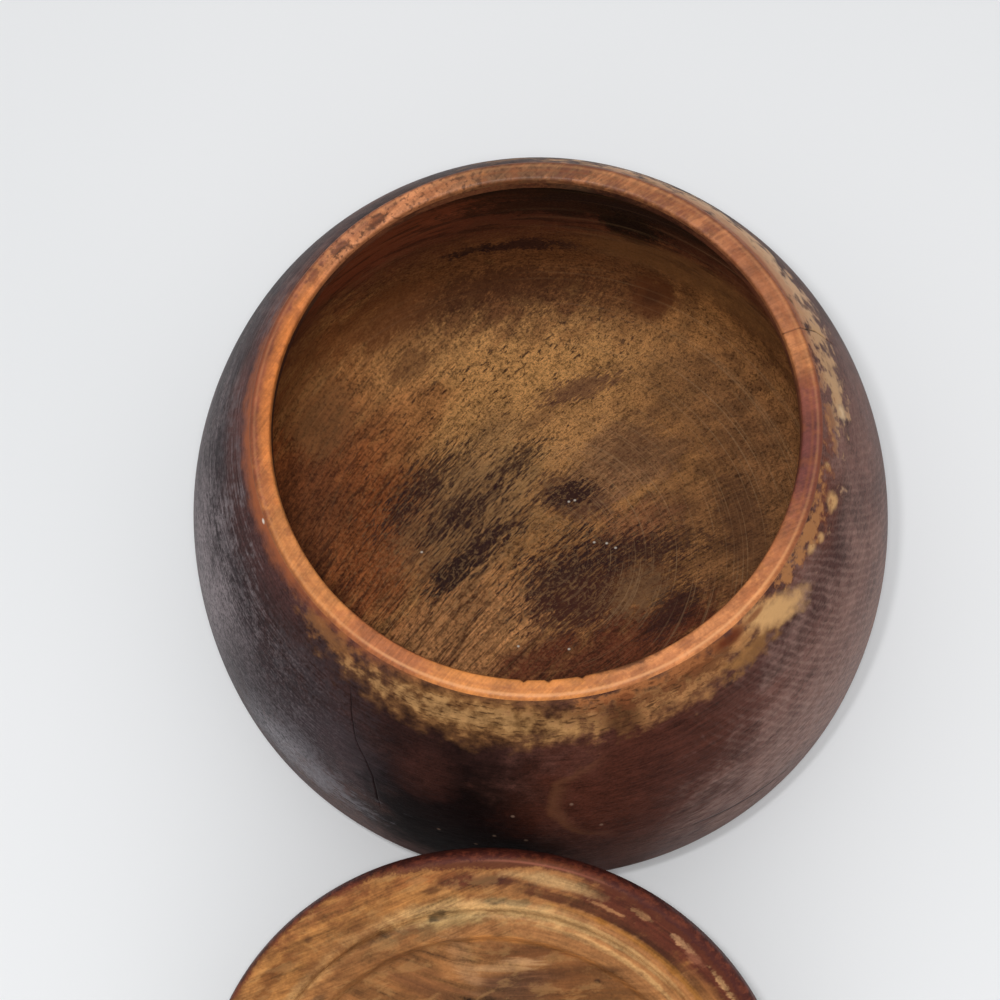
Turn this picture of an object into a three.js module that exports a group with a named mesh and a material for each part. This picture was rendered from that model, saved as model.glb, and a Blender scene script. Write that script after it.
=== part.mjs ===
// Turned wooden bowl with a closed shape and a loose lid. The lid lies upside down in front
// of the bowl, propped on its knob and its near edge, so that its turned underside shows.
// Millimetres, +Z up. The origin is the centre of the bowl's flat foot.
// The bowl is open along +Z, and the front, where the lid lies, is -Y.
import * as THREE from 'three';

// Bowl, outside
const bowlHeight = 110;
const bellyRadius = 80;
const bellyHeight = 31.4;
const footRadius = 42;
const footEdgeRound = 1.6;
const shoulderPower = 2.12;
const undersidePower = 2.33;

// Bowl, lip and mouth
const mouthRadius = 53.7;
const lipWidth = 4;
const lipOuterRound = 1.3;
const lipInnerRound = 0.9;
const landDepth = 4;
const landEdgeRound = 0.8;

// Bowl, inside
const bellyWall = 9;
const floorThickness = 15.5;
const floorRadius = 48;
const floorDish = 0.8;
const hollowPower = 2.3;
const hollowBellyLift = 1.6;

// Lid. Its own frame has z = 0 on the face that rests on the lip, and the knob towards +Z.
// The flange stands out over the lip by the overhang.
const lidOverhang = 6.3;
const lidEdgeThickness = 5;
const lidEdgeRound = 2.2;
const lidRise = 13;
const lidRingClearance = 1.4;
const lidRingWidth = 6;
const lidRingHeight = 3.2;
const lidRingRound = 1.2;
const lidShoulderWidth = 6;
const lidDishDepth = 4.5;

// Knob, with a tenon glued in a blind hole in the top of the lid
const knobRadius = 13;
const knobHeight = 19;
const knobWaistRadius = 7.2;
const knobFootRadius = 9.6;
const knobFootHeight = 2;
const knobWaistShare = 0.3;
const knobHeadShare = 0.68;
const knobCrownShare = 0.45;
const knobCrown = 0.6;
const knobSeatWidth = 1.2;
const tenonRadius = 5.5;
const tenonLength = 8;
const glueGap = 0.3;

// How the lid lies beside the bowl
const lidDirection = THREE.MathUtils.degToRad(-100.2);
const lidGap = 5.2;

// Number of flat sides round the axis, and of steps along a curve
const bowlSides = 64;
const lidSides = 64;
const knobSides = 40;
const curveSteps = 11;
const shortCurveSteps = 8;
const dishSteps = 6;
const domeSteps = 7;
const knobSteps = 4;
const roundSteps = 3;

const wood = (color, roughness) => new THREE.MeshStandardMaterial({ color, roughness, metalness: 0 });

const materials = {
  bowl: wood(0x4a322c, 0.5),
  lid: wood(0xa8733f, 0.45),
  knob: wood(0x5a3a2c, 0.45),
};

// A curve given as radius over height, from one height to another, both ends included
function curve(radiusAt, fromZ, toZ, steps = curveSteps) {
  return Array.from({ length: steps + 1 }, (unused, i) => {
    const z = THREE.MathUtils.lerp(fromZ, toZ, i / steps);
    return [radiusAt(z), z];
  });
}

// A quarter of an ellipse in the profile plane, from one point to another. It starts along the
// axis of the turning when startsUpright is true, and square to it when false.
function quarterEllipse([r0, z0], [r1, z1], startsUpright, steps = shortCurveSteps) {
  return Array.from({ length: steps + 1 }, (unused, i) => {
    const angle = (Math.PI / 2) * (i / steps);
    const early = 1 - Math.cos(angle);
    const late = Math.sin(angle);
    const alongR = startsUpright ? early : late;
    const alongZ = startsUpright ? late : early;
    return [r0 + (r1 - r0) * alongR, z0 + (z1 - z0) * alongZ];
  });
}

// The corner at b of the path a, b, c, rounded with an arc. The arc never takes more than
// 45 % of either side.
function rounded(a, b, c, radius, steps = roundSteps) {
  const corner = new THREE.Vector2(...b);
  const back = new THREE.Vector2(...a).sub(corner);
  const ahead = new THREE.Vector2(...c).sub(corner);
  const half = back.angleTo(ahead) / 2;
  const reach = Math.min(radius / Math.tan(half), 0.45 * back.length(), 0.45 * ahead.length());
  const start = corner.clone().addScaledVector(back.normalize(), reach);
  const end = corner.clone().addScaledVector(ahead.normalize(), reach);
  const arcRadius = reach * Math.tan(half);
  const middle = corner.clone().addScaledVector(back.add(ahead).normalize(), arcRadius / Math.sin(half));
  const startAngle = start.clone().sub(middle).angle();
  let sweep = end.clone().sub(middle).angle() - startAngle;
  if (sweep > Math.PI) sweep -= 2 * Math.PI;
  if (sweep < -Math.PI) sweep += 2 * Math.PI;
  return Array.from({ length: steps + 1 }, (unused, i) => {
    const angle = startAngle + (sweep * i) / steps;
    return [middle.x + arcRadius * Math.cos(angle), middle.y + arcRadius * Math.sin(angle)];
  });
}

// A closed solid of revolution about +Z. The profile runs from the axis round the outside
// and back to the axis, and goes from the bottom up on the outside.
function turned(name, profile, sides, material) {
  const points = profile.map(([r, z]) => new THREE.Vector2(r, z));
  const geometry = new THREE.LatheGeometry(points, sides);
  geometry.rotateX(Math.PI / 2);
  const mesh = new THREE.Mesh(geometry, material);
  mesh.name = name;
  return mesh;
}

// Outside of the bowl: two superellipse arcs that meet at the belly
const lipRadius = mouthRadius + lipWidth;
const lidRadius = lipRadius + lidOverhang;

function superellipse(radius, endRadius, height, power) {
  const reach = height / (1 - (endRadius / radius) ** 2) ** (1 / power);
  return (distance) => radius * Math.sqrt(1 - (distance / reach) ** power);
}

const shoulder = superellipse(bellyRadius, lipRadius, bowlHeight - bellyHeight, shoulderPower);
const underside = superellipse(bellyRadius, footRadius, bellyHeight, undersidePower);
const outsideRadius = (z) => (z < bellyHeight ? underside(bellyHeight - z) : shoulder(z - bellyHeight));

// Inside of the bowl: floor, cove, hollow under the shoulder, then the straight land that
// the lid's ring drops into
const landZ = bowlHeight - landDepth;
const hollowRadius = bellyRadius - bellyWall;
const hollowBellyZ = bellyHeight + hollowBellyLift;
const hollow = superellipse(hollowRadius, mouthRadius, landZ - hollowBellyZ, hollowPower);

function bowlProfile() {
  const aboveFoot = [outsideRadius(footEdgeRound), footEdgeRound];
  const footEdge = rounded([0, 0], [footRadius, 0], aboveFoot, footEdgeRound);
  const lowerSide = curve(outsideRadius, footEdgeRound, bellyHeight, shortCurveSteps);
  const underLip = bowlHeight - 2 * lipOuterRound;
  const upperSide = curve(outsideRadius, bellyHeight, underLip);
  const lipOuterEdge = [lipRadius, bowlHeight];
  const lipInnerEdge = [mouthRadius, bowlHeight];
  const landEnd = [mouthRadius, landZ];
  const underLandZ = landZ - 2 * landEdgeRound;
  const underLand = [hollow(underLandZ - hollowBellyZ), underLandZ];
  return [
    [0, 0],
    ...footEdge,
    ...lowerSide,
    ...upperSide.slice(1),
    ...rounded([outsideRadius(underLip), underLip], lipOuterEdge, lipInnerEdge, lipOuterRound),
    ...rounded(lipOuterEdge, lipInnerEdge, landEnd, lipInnerRound),
    ...rounded(lipInnerEdge, landEnd, underLand, landEdgeRound, 2),
    ...curve((z) => hollow(z - hollowBellyZ), underLandZ, hollowBellyZ),
    ...quarterEllipse([hollowRadius, hollowBellyZ], [floorRadius, floorThickness], true).slice(1),
    [0, floorThickness - floorDish],
  ];
}

// Lid, as it sits on the bowl: the ring drops into the mouth, the edge stands out over the lip
const ringRadius = mouthRadius - lidRingClearance;
const dishRadius = ringRadius - lidRingWidth;
const topZ = lidEdgeThickness + lidRise;
const seatRadius = knobFootRadius + knobSeatWidth;
const holeRadius = tenonRadius + glueGap;
const holeDepth = tenonLength + glueGap;

function lidTopZ(r) {
  const span = (r - seatRadius) / (lidRadius - seatRadius);
  return lidEdgeThickness + lidRise * (1 - span ** 2);
}

function lidUnderside() {
  const dishEdge = [dishRadius, -lidRingHeight];
  const ringEdge = [ringRadius, -lidRingHeight];
  const ringFoot = [ringRadius, 0];
  const dish = Array.from({ length: dishSteps }, (unused, i) => {
    const share = i / dishSteps;
    return [dishRadius * share, lidDishDepth * (1 - share ** 2)];
  });
  const dishFoot = dish[dish.length - 1];
  return [
    ...dish,
    ...rounded(dishFoot, dishEdge, ringEdge, lidRingRound),
    ...rounded(dishEdge, ringEdge, ringFoot, lidRingRound),
    ringFoot,
  ];
}

function lidProfile() {
  const edgeLow = [lidRadius, 0];
  const edgeHigh = [lidRadius, lidEdgeThickness];
  const shoulderRadius = lidRadius - lidShoulderWidth;
  const dome = Array.from({ length: domeSteps + 1 }, (unused, i) => {
    const r = THREE.MathUtils.lerp(shoulderRadius, seatRadius, i / domeSteps);
    return [r, lidTopZ(r)];
  });
  return [
    ...lidUnderside(),
    ...rounded([ringRadius, 0], edgeLow, edgeHigh, lidEdgeRound),
    ...rounded(edgeLow, edgeHigh, dome[0], lidEdgeRound),
    ...dome,
    [holeRadius, topZ],
    [holeRadius, topZ - holeDepth],
    [0, topZ - holeDepth],
  ];
}

// Knob: tenon, flat foot, hollowed waist and a rounded head
const knobFootZ = topZ + glueGap;
const knobTopZ = knobFootZ + knobHeight;

function knobProfile() {
  const waistZ = knobFootZ + knobFootHeight + knobWaistShare * (knobHeight - knobFootHeight);
  const headZ = knobFootZ + knobHeadShare * knobHeight;
  const crownEdge = [knobCrownShare * knobRadius, knobTopZ - knobCrown];
  const footTop = [knobFootRadius, knobFootZ + knobFootHeight];
  const waist = [knobWaistRadius, waistZ];
  return [
    [0, topZ - tenonLength],
    [tenonRadius, topZ - tenonLength],
    [tenonRadius, knobFootZ],
    [knobFootRadius, knobFootZ],
    ...quarterEllipse(footTop, waist, false, knobSteps),
    ...quarterEllipse(waist, [knobRadius, headZ], true, knobSteps).slice(1),
    ...quarterEllipse([knobRadius, headZ], crownEdge, true).slice(1),
    [0, knobTopZ],
  ];
}

// How far a turned outline, tilted by an angle and lying knob down, reaches below its frame
const reachBelow = (profile, tilt) =>
  Math.max(...profile.map(([r, z]) => z * Math.cos(tilt) + r * Math.sin(tilt)));

// The tilt at which the lid's edge and the knob touch the ground together
function restTilt(lidOutline, knobOutline) {
  let low = 0;
  let high = Math.PI / 2;
  for (let step = 0; step < 50; step += 1) {
    const middle = (low + high) / 2;
    const knobLower = reachBelow(knobOutline, middle) > reachBelow(lidOutline, middle);
    low = knobLower ? middle : low;
    high = knobLower ? high : middle;
  }
  return low;
}

function placedLid() {
  const lidOutline = lidProfile();
  const knobOutline = knobProfile();
  const tilt = restTilt(lidOutline, knobOutline);
  const height = reachBelow(lidOutline, tilt);
  const raisedEdgeZ = Math.min(height + lidRadius * Math.sin(tilt), bowlHeight);
  const distance = outsideRadius(raisedEdgeZ) + lidGap + lidRadius * Math.cos(tilt);
  const lying = new THREE.Group();
  lying.position.set(distance, 0, height);
  lying.rotation.y = Math.PI + tilt;
  lying.add(turned('lid', lidOutline, lidSides, materials.lid));
  lying.add(turned('lid_knob', knobOutline, knobSides, materials.knob));
  const beside = new THREE.Group();
  beside.rotation.z = lidDirection;
  beside.add(lying);
  return beside;
}

const liddedBowl = new THREE.Group();
liddedBowl.add(turned('bowl', bowlProfile(), bowlSides, materials.bowl));
liddedBowl.add(placedLid());

export default liddedBowl;
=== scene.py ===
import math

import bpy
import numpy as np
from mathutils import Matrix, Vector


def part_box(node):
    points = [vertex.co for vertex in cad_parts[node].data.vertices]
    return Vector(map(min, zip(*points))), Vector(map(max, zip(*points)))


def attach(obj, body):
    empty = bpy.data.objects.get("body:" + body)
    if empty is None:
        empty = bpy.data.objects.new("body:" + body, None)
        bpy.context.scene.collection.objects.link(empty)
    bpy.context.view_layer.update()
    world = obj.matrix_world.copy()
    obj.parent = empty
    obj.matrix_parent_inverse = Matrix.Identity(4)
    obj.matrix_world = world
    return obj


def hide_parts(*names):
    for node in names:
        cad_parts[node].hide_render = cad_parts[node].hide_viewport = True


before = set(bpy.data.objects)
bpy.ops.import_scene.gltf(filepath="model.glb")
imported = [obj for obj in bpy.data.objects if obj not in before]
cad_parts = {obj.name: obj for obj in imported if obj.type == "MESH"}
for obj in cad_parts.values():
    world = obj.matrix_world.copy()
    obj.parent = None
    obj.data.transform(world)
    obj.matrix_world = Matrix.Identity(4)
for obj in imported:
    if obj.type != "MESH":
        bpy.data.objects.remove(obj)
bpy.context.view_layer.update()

# %% [markdown]
# # A turned wooden bowl with its lid beside it
#
# The real bowl is one block of figured wood, turned hollow through a mouth that is narrower
# than its belly, then stained dark and waxed on the outside. The lid lies upside down in
# front of it, propped on its knob. The construction, the sizes and the way the lid lifts are
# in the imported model. This file gives the wood its smooth surfaces, its cracks and its
# figure, and sets up the camera and the light. Shapes are worked out in millimetres.

MM = 0.001
BELLY_RADIUS, _, BOWL_HEIGHT = np.array(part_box("bowl")[1]) / MM
print("bowl:", round(2 * BELLY_RADIUS, 1), "mm across and", round(BOWL_HEIGHT, 1), "mm tall")

# %% [markdown]
# ## The camera
#
# The picture was taken from nearly overhead with a slightly long lens, and the camera was
# turned a little in the hand. A camera is placed by the point it looks at, its distance, its
# height angle and that small roll. The lens follows from how many pixels a given angle
# covers: the focal length in pixels, times the sensor's width over the picture's width.

# %% Place the camera
PICTURE_WIDTH = 1000
FOCAL_PIXELS = 2211
SENSOR_WIDTH = 36
LOOK_AT = Vector((-8.72, 19.2, 3.0)) * MM
CAMERA_DISTANCE = 554.6 * MM
CAMERA_HEIGHT_ANGLE = math.radians(71.66)
CAMERA_ROLL = math.radians(5.98)


def place_camera():
    """Looks along -back at the target, with the picture's up turned by the roll."""
    back = Vector((0, -math.cos(CAMERA_HEIGHT_ANGLE), math.sin(CAMERA_HEIGHT_ANGLE)))
    level = Vector((0, 0, 1)).cross(back).normalized()
    upright = back.cross(level)
    right = level * math.cos(CAMERA_ROLL) - upright * math.sin(CAMERA_ROLL)
    up = back.cross(right)
    data = bpy.data.cameras.new("camera")
    data.sensor_width = SENSOR_WIDTH
    data.lens = FOCAL_PIXELS * SENSOR_WIDTH / PICTURE_WIDTH
    camera = bpy.data.objects.new("camera", data)
    bpy.context.scene.collection.objects.link(camera)
    place = LOOK_AT + back * CAMERA_DISTANCE
    camera.matrix_world = Matrix.Translation(place) @ Matrix((right, up, back)).transposed().to_4x4()
    bpy.context.scene.camera = camera
    return place


print("camera at", [round(value / MM) for value in place_camera()], "mm")

# %% [markdown]
# ## A profile and what it is turned into
#
# Every piece here comes off a lathe, so each is a profile carried round an axis. The profile
# is a list of points, radius and height, that starts on the axis, goes round the outside and
# comes back to the axis. Straight runs are joined by small arcs, because a turner breaks
# every sharp edge with a touch of sandpaper. Doing it with arrays keeps full control of where
# the rows and columns fall, which matters later: a crack needs columns packed close together.

# %% Curves that the profiles are put together from
def bow(start, end, steps, upright_first):
    """A quarter of an ellipse between two points: one way eases in as 1 - cos, the other goes
    as sin. With upright_first it leaves the start along the height."""
    angle = np.linspace(0, math.pi / 2, steps + 1)
    early = 1 - np.cos(angle)
    late = np.sin(angle)
    shares = (early, late) if upright_first else (late, early)
    return np.stack([a + (b - a) * share for a, b, share in zip(start, end, shares)], axis=1)


def eased(before, corner, after, radius, steps=6):
    """The corner of the path before, corner, after, replaced by an arc that touches both
    sides. The arc never takes more than 45 % of either side."""
    before, corner, after = (np.array(point, float) for point in (before, corner, after))
    back = before - corner
    ahead = after - corner
    back_length, ahead_length = np.linalg.norm(back), np.linalg.norm(ahead)
    back, ahead = back / back_length, ahead / ahead_length
    half = math.acos(np.clip(back @ ahead, -1, 1)) / 2
    reach = min(radius / math.tan(half), 0.45 * back_length, 0.45 * ahead_length)
    arc_radius = reach * math.tan(half)
    bisector = (back + ahead) / np.linalg.norm(back + ahead)
    middle = corner + bisector * arc_radius / math.sin(half)
    first = corner + back * reach - middle
    last = corner + ahead * reach - middle
    turn = math.atan2(first[0] * last[1] - first[1] * last[0], first @ last)
    angle = math.atan2(first[1], first[0]) + turn * np.linspace(0, 1, steps + 1)
    return middle + arc_radius * np.stack([np.cos(angle), np.sin(angle)], axis=1)


def straight(start, end, steps):
    """Evenly spaced points from start to end, without either of them."""
    share = np.linspace(0, 1, steps + 1)[1:-1, None]
    return np.array(start) * (1 - share) + np.array(end) * share


def outward(profile):
    """The unit normal at each profile point: the tangent (dr, dz) turned to (dz, -dr)."""
    tangent = np.gradient(profile, axis=0)
    normal = np.stack([tangent[:, 1], -tangent[:, 0]], axis=1)
    return normal / np.linalg.norm(normal, axis=1, keepdims=True)


# %% [markdown]
# ## From rows and columns to a mesh
#
# The grid has one row for each profile point and one column for each direction round the
# axis. The first and the last row lie on the axis, so each becomes one point with a fan of
# triangles, and the last column joins the first one, which leaves no seam. Faces list their
# corners in the order that makes them look outwards.

# %% Turn a grid of points into a closed mesh
def closed_mesh(name, grid, zones=None, **values):
    """A mesh from a grid of points (rows, columns, xyz) in millimetres. The first and last
    rows are single points on the axis. zones gives each row's material, and every further
    value is a grid of numbers that is kept as an attribute for the material to read."""
    rows, columns = grid.shape[:2]
    body = grid[1:-1].reshape(-1, 3)
    points = np.vstack([grid[0, :1], body, grid[-1, :1]]) * MM
    index = 1 + np.arange((rows - 2) * columns).reshape(rows - 2, columns)
    beside = np.roll(index, -1, axis=1)
    quads = np.stack([index[:-1], beside[:-1], beside[1:], index[1:]], axis=-1).reshape(-1, 4)
    last = len(points) - 1
    start_fan = np.stack([np.zeros(columns, int), beside[0], index[0]], axis=-1)
    end_fan = np.stack([np.full(columns, last), index[-1], beside[-1]], axis=-1)
    corners = np.concatenate([quads.ravel(), start_fan.ravel(), end_fan.ravel()])
    sides = np.concatenate([np.full(len(quads), 4), np.full(2 * columns, 3)])
    mesh = bpy.data.meshes.new(name)
    mesh.vertices.add(len(points))
    mesh.vertices.foreach_set("co", points.ravel())
    mesh.loops.add(len(corners))
    mesh.loops.foreach_set("vertex_index", corners.astype(np.int32))
    mesh.polygons.add(len(sides))
    mesh.polygons.foreach_set("loop_start", (np.cumsum(sides) - sides).astype(np.int32))
    if zones is not None:
        quad_zone = np.repeat(zones[1:-2], columns)
        zone = np.concatenate([quad_zone, np.full(columns, zones[0]), np.full(columns, zones[-1])])
        mesh.polygons.foreach_set("material_index", zone.astype(np.int32))
    mesh.update(calc_edges=True)
    mesh.shade_smooth()
    for value_name, value in values.items():
        kept = np.concatenate([value[0, :1], value[1:-1].ravel(), value[-1, :1]])
        attribute = mesh.attributes.new(value_name, "FLOAT", "POINT")
        attribute.data.foreach_set("value", kept.astype(np.float32))
    piece = bpy.data.objects.new(name, mesh)
    bpy.context.scene.collection.objects.link(piece)
    triangles = 2 * len(quads) + 2 * columns
    print(name, "has", len(points), "points and", triangles, "triangles")
    return piece


# %% [markdown]
# ## The bowl's profile
#
# Outside, the bowl is two superellipse arcs that meet at the belly: a low, full underside and
# a long shoulder that closes in to the lip. Inside, the wall follows the shoulder at a
# distance, and ends in a short straight land that guides the ring of the lid. A superellipse
# with a power a little above 2 is fuller than a circle, which is the look of this bowl.

# %% Work out the bowl's profile
BELLY_HEIGHT = 31.4
FOOT_RADIUS = 42
FOOT_EDGE = 1.6
SHOULDER_POWER = 2.12
UNDERSIDE_POWER = 2.33
MOUTH_RADIUS = 53.7
LIP_RADIUS = 57.7
LIP_OUTER_EDGE = 1.3
LIP_INNER_EDGE = 0.9
LAND_HEIGHT = 106
LAND_EDGE = 0.8
LAND_EASING = 2
HOLLOW_RADIUS = 71
HOLLOW_HEIGHT = 33
HOLLOW_POWER = 2.3
FLOOR_RADIUS = 48
FLOOR_EDGE_HEIGHT = 15.5
FLOOR_HEIGHT = 14.7
FOOT_RECESS_RADIUS = 34
FOOT_RECESS_DEPTH = 0.9


def superellipse(widest, end, height, power, rise):
    """The radius at a rise above the widest place: widest * sqrt(1 - (rise / reach)^power),
    with the reach chosen so that the radius is the end one at the given height."""
    reach = height / (1 - (end / widest) ** 2) ** (1 / power)
    return widest * np.sqrt(1 - (rise / reach) ** power)


def outside_radius(height):
    """The bowl's outer radius at a height above the table."""
    above = superellipse(BELLY_RADIUS, LIP_RADIUS, BOWL_HEIGHT - BELLY_HEIGHT, SHOULDER_POWER,
                         np.clip(height - BELLY_HEIGHT, 0, None))
    below = superellipse(BELLY_RADIUS, FOOT_RADIUS, BELLY_HEIGHT, UNDERSIDE_POWER,
                         np.clip(BELLY_HEIGHT - height, 0, None))
    return np.where(height < BELLY_HEIGHT, below, above)


def hollow_radius(height):
    """The radius of the hollow between its widest place and the land under the lip."""
    return superellipse(HOLLOW_RADIUS, MOUTH_RADIUS, LAND_HEIGHT - HOLLOW_HEIGHT, HOLLOW_POWER,
                        height - HOLLOW_HEIGHT)


print("wall at the belly:", round(BELLY_RADIUS - HOLLOW_RADIUS, 1), "mm")

# %% [markdown]
# ## From curves to one profile
#
# A turner might draw the profile, cut a card to it and hold that against the spinning wood.
# Here the card is one list of points: the foot's slight recess, the outside up to the lip,
# the lip with its two eased corners, the land, the hollow and the dished floor. Each point
# also gets a zone, because the outside, the lip and the inside have finishes of their own.

# %% Put the bowl's profile together
def bowl_profile():
    """The points of the bowl's profile, and for each the zone it belongs to: 0 outside,
    1 lip, 2 inside. The recess falls off with the fourth power of the radius, and the floor
    rises with its power of one and a half."""
    recess = np.linspace(0, FOOT_RECESS_RADIUS, 11)
    recess_depth = FOOT_RECESS_DEPTH * (1 - (recess / FOOT_RECESS_RADIUS) ** 4)
    foot = np.stack([recess, recess_depth], axis=1)
    above_foot = (outside_radius(FOOT_EDGE), FOOT_EDGE)
    foot_edge = eased((0, 0), (FOOT_RADIUS, 0), above_foot, FOOT_EDGE, 5)
    heights = BELLY_HEIGHT + (BOWL_HEIGHT - 2 * LIP_OUTER_EDGE - BELLY_HEIGHT) * np.linspace(0, 1, 55)
    low_share = np.sin(np.linspace(0, math.pi / 2, 31))
    low_heights = FOOT_EDGE + (BELLY_HEIGHT - FOOT_EDGE) * low_share ** 1.5
    side = np.concatenate([low_heights[:-1], heights])
    side = np.stack([outside_radius(side), side], axis=1)
    outer, inner = (LIP_RADIUS, BOWL_HEIGHT), (MOUTH_RADIUS, BOWL_HEIGHT)
    land_end = (MOUTH_RADIUS, LAND_HEIGHT)
    below_land = LAND_HEIGHT - LAND_EASING
    under = (hollow_radius(below_land), below_land)
    outer_arc = eased(side[-1], outer, inner, LIP_OUTER_EDGE, 8)
    inner_arc = eased(outer, inner, land_end, LIP_INNER_EDGE, 7)
    land_arc = eased(inner, land_end, under, LAND_EDGE, 3)
    hollow = np.linspace(below_land, HOLLOW_HEIGHT, 46)
    hollow = np.stack([hollow_radius(hollow), hollow], axis=1)
    cove = bow(hollow[-1], (FLOOR_RADIUS, FLOOR_EDGE_HEIGHT), 20, True)[1:]
    floor = np.linspace(FLOOR_RADIUS, 0, 22)[1:]
    dish = FLOOR_HEIGHT + (FLOOR_EDGE_HEIGHT - FLOOR_HEIGHT) * (floor / FLOOR_RADIUS) ** 1.5
    parts = [
        (0, foot), (0, foot_edge), (0, side), (1, outer_arc),
        (1, straight(outer_arc[-1], inner_arc[0], 4)), (1, inner_arc),
        (2, straight(inner_arc[-1], land_arc[0], 4)), (2, land_arc),
        (2, hollow), (2, cove), (2, np.stack([floor, dish], axis=1)),
    ]
    zones = np.concatenate([np.full(len(points), zone) for zone, points in parts])
    return np.vstack([points for zone, points in parts]), zones


bowl_outline, bowl_zones = bowl_profile()
lip_rows = int((bowl_zones == 1).sum())
print("bowl profile:", len(bowl_outline), "rows, of which", lip_rows, "on the lip")

# %% [markdown]
# ## Cracks and chips
#
# An old bowl has split where it dried: one long crack runs down the near side, a short one
# runs out over the lip at the right, and the mouth's near edge has three small chips where
# the lid has knocked it. The cracks are about a quarter of a millimetre wide, so even columns
# would step over them, and a mesh that is fine all over would be far too heavy. So columns
# are packed close at each crack and chip only, by spacing them evenly in a running total of
# wanted density.

# %% Lay out the columns
# Each crack: its path as (height, direction in degrees) points, the lowest and the highest
# height of its groove, and the groove's half width and depth in mm.
LONG_CRACK = (((60, -122), (73, -123.4), (79, -125), (83, -127), (88, -128.5), (100, -131.4)),
              (60, 100), 0.12, 0.25)
SHORT_CRACK = (((94, 13), (104, 14.5), (110, 14)), (95, 112), 0.15, 0.35)
CRACKS = (LONG_CRACK, SHORT_CRACK)
CHIP_DIRECTIONS = (-98.3, -93.2, -86.2)
COLUMNS = 452


def crack_path(points, height):
    """The crack's direction at a height, running straight between its points."""
    heights, directions = zip(*points)
    return np.interp(height, heights, directions)


def packed_columns(centres, count, closeness=9.0, reach=0.55):
    """Directions in degrees, even but for a peak of density round each centre: the density is
    1 + closeness / (1 + (distance / reach)^2), and columns take equal shares of its total."""
    fine = np.linspace(-180, 180, 36001)
    gap = (fine[:, None] - np.array(centres)[None] + 180) % 360 - 180
    density = 1 + (closeness / (1 + (gap / reach) ** 2)).sum(axis=1)
    total = np.concatenate([[0], np.cumsum(density)[:-1]])
    return np.interp(np.arange(count) / count * (total[-1] + density[-1]), total, fine)


crack_middles = [crack_path(path, np.mean(span)) for path, span, half_width, depth in CRACKS]
bowl_columns = packed_columns([*crack_middles, *CHIP_DIRECTIONS], COLUMNS)
column_gaps = np.diff(bowl_columns)
print("columns:", column_gaps.min().round(2), "to", column_gaps.max().round(2), "degrees apart")

# %% [markdown]
# ## The cracks' paths
#
# A crack leans as it goes down, so columns that stand upright would cross it and give it a
# toothed edge. The columns near it are slid sideways to run along it instead, by the crack's
# own shift at each height, and less and less the further off they stand. Then every point
# near the path is sunk along the surface's normal, deepest on the path. The chips are the
# same grooves, held to the mouth's edge. How far a groove cuts is handed on to the finish.

# %% Press in the cracks and chips
CRACK_PULL = 28
CRACK_FADE = 6
CHIP_HALF_WIDTH = 0.4
CHIP_DEPTH = 0.5
CHIP_SETBACK = 0.2
CHIP_REACH = 1.6
CHIP_BELOW_TOP = (4, 1)


def groove(distance, half_width):
    """A rounded V: 1 on the line, 0 at two half widths from it."""
    return np.clip(1 - np.abs(distance) / (2 * half_width), 0, 1) ** 0.8


def lean_along_cracks(height, outside):
    """Each point's direction: its column's, plus the crack's shift at that height times a
    smooth pull that is 1 at the crack and 0 at CRACK_PULL degrees from it."""
    direction = bowl_columns[None] + np.zeros_like(height)
    for (path, *_), middle in zip(CRACKS, crack_middles):
        gap = (bowl_columns[None] - middle + 180) % 360 - 180
        pull = np.clip(1 - np.abs(gap) / CRACK_PULL, 0, 1)
        pull = pull * pull * (3 - 2 * pull)
        direction = direction + outside * pull * (crack_path(path, height) - middle)
    return direction


def press_grooves(direction, radius, height, outside):
    """How far a groove cuts at each point (0 to 1), and how deep that is in mm: for a crack,
    a groove round its path with a slight wobble, that fades in and out over CRACK_FADE mm;
    for a chip, a groove in one direction times a mask of the mouth's edge."""
    cut = np.zeros(direction.shape)
    depths = np.zeros(direction.shape)
    for path, (low, high), half_width, depth in CRACKS:
        wobble = 0.075 * np.sin(0.9 * height) + 0.045 * np.sin(2.3 * height)
        gap = np.radians(direction - crack_path(path, height) + wobble) * radius
        from_bottom = np.clip((height - low) / CRACK_FADE, 0, 1)
        from_top = np.clip((high - height) / CRACK_FADE, 0, 1)
        share = groove(gap, half_width) * np.sqrt(from_bottom * from_top) * outside
        cut = np.maximum(cut, share)
        depths = np.maximum(depths, share * depth)
    start, full = (BOWL_HEIGHT - drop for drop in CHIP_BELOW_TOP)
    edge = np.clip(1 - np.abs(radius - MOUTH_RADIUS + CHIP_SETBACK) / CHIP_REACH, 0, 1)
    edge = edge * np.clip((height - start) / (full - start), 0, 1) * (radius < LIP_RADIUS - 1)
    for chip in CHIP_DIRECTIONS:
        share = groove(np.radians(direction - chip) * radius, CHIP_HALF_WIDTH) * edge
        cut = np.maximum(cut, share)
        depths = np.maximum(depths, share * CHIP_DEPTH)
    return cut, depths


bowl_radius, bowl_height = bowl_outline[:, :1], bowl_outline[:, 1:]
not_hollow = bowl_zones[:, None] < 2
bowl_direction = lean_along_cracks(bowl_height, not_hollow)
bowl_cut, bowl_sink = press_grooves(bowl_direction, bowl_radius, bowl_height, not_hollow)
print("deepest groove:", bowl_sink.max().round(2), "mm, at", int((bowl_cut > 0).sum()), "points")

# %% [markdown]
# ## The bowl's mesh
#
# A bowl that was turned by hand and has dried since isn't quite round. A slow waviness sinks
# the outside by up to a third of a millimetre, and a smaller one goes round the lip. It only
# takes wood away, so the piece stays inside its packed size, and it keeps clear of the foot.

# %% Make the bowl
UNEVENNESS = 0.35
LIP_UNEVENNESS = 0.06
FOOT_KEPT_TRUE = 3
FOOT_BLEND = 20


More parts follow.
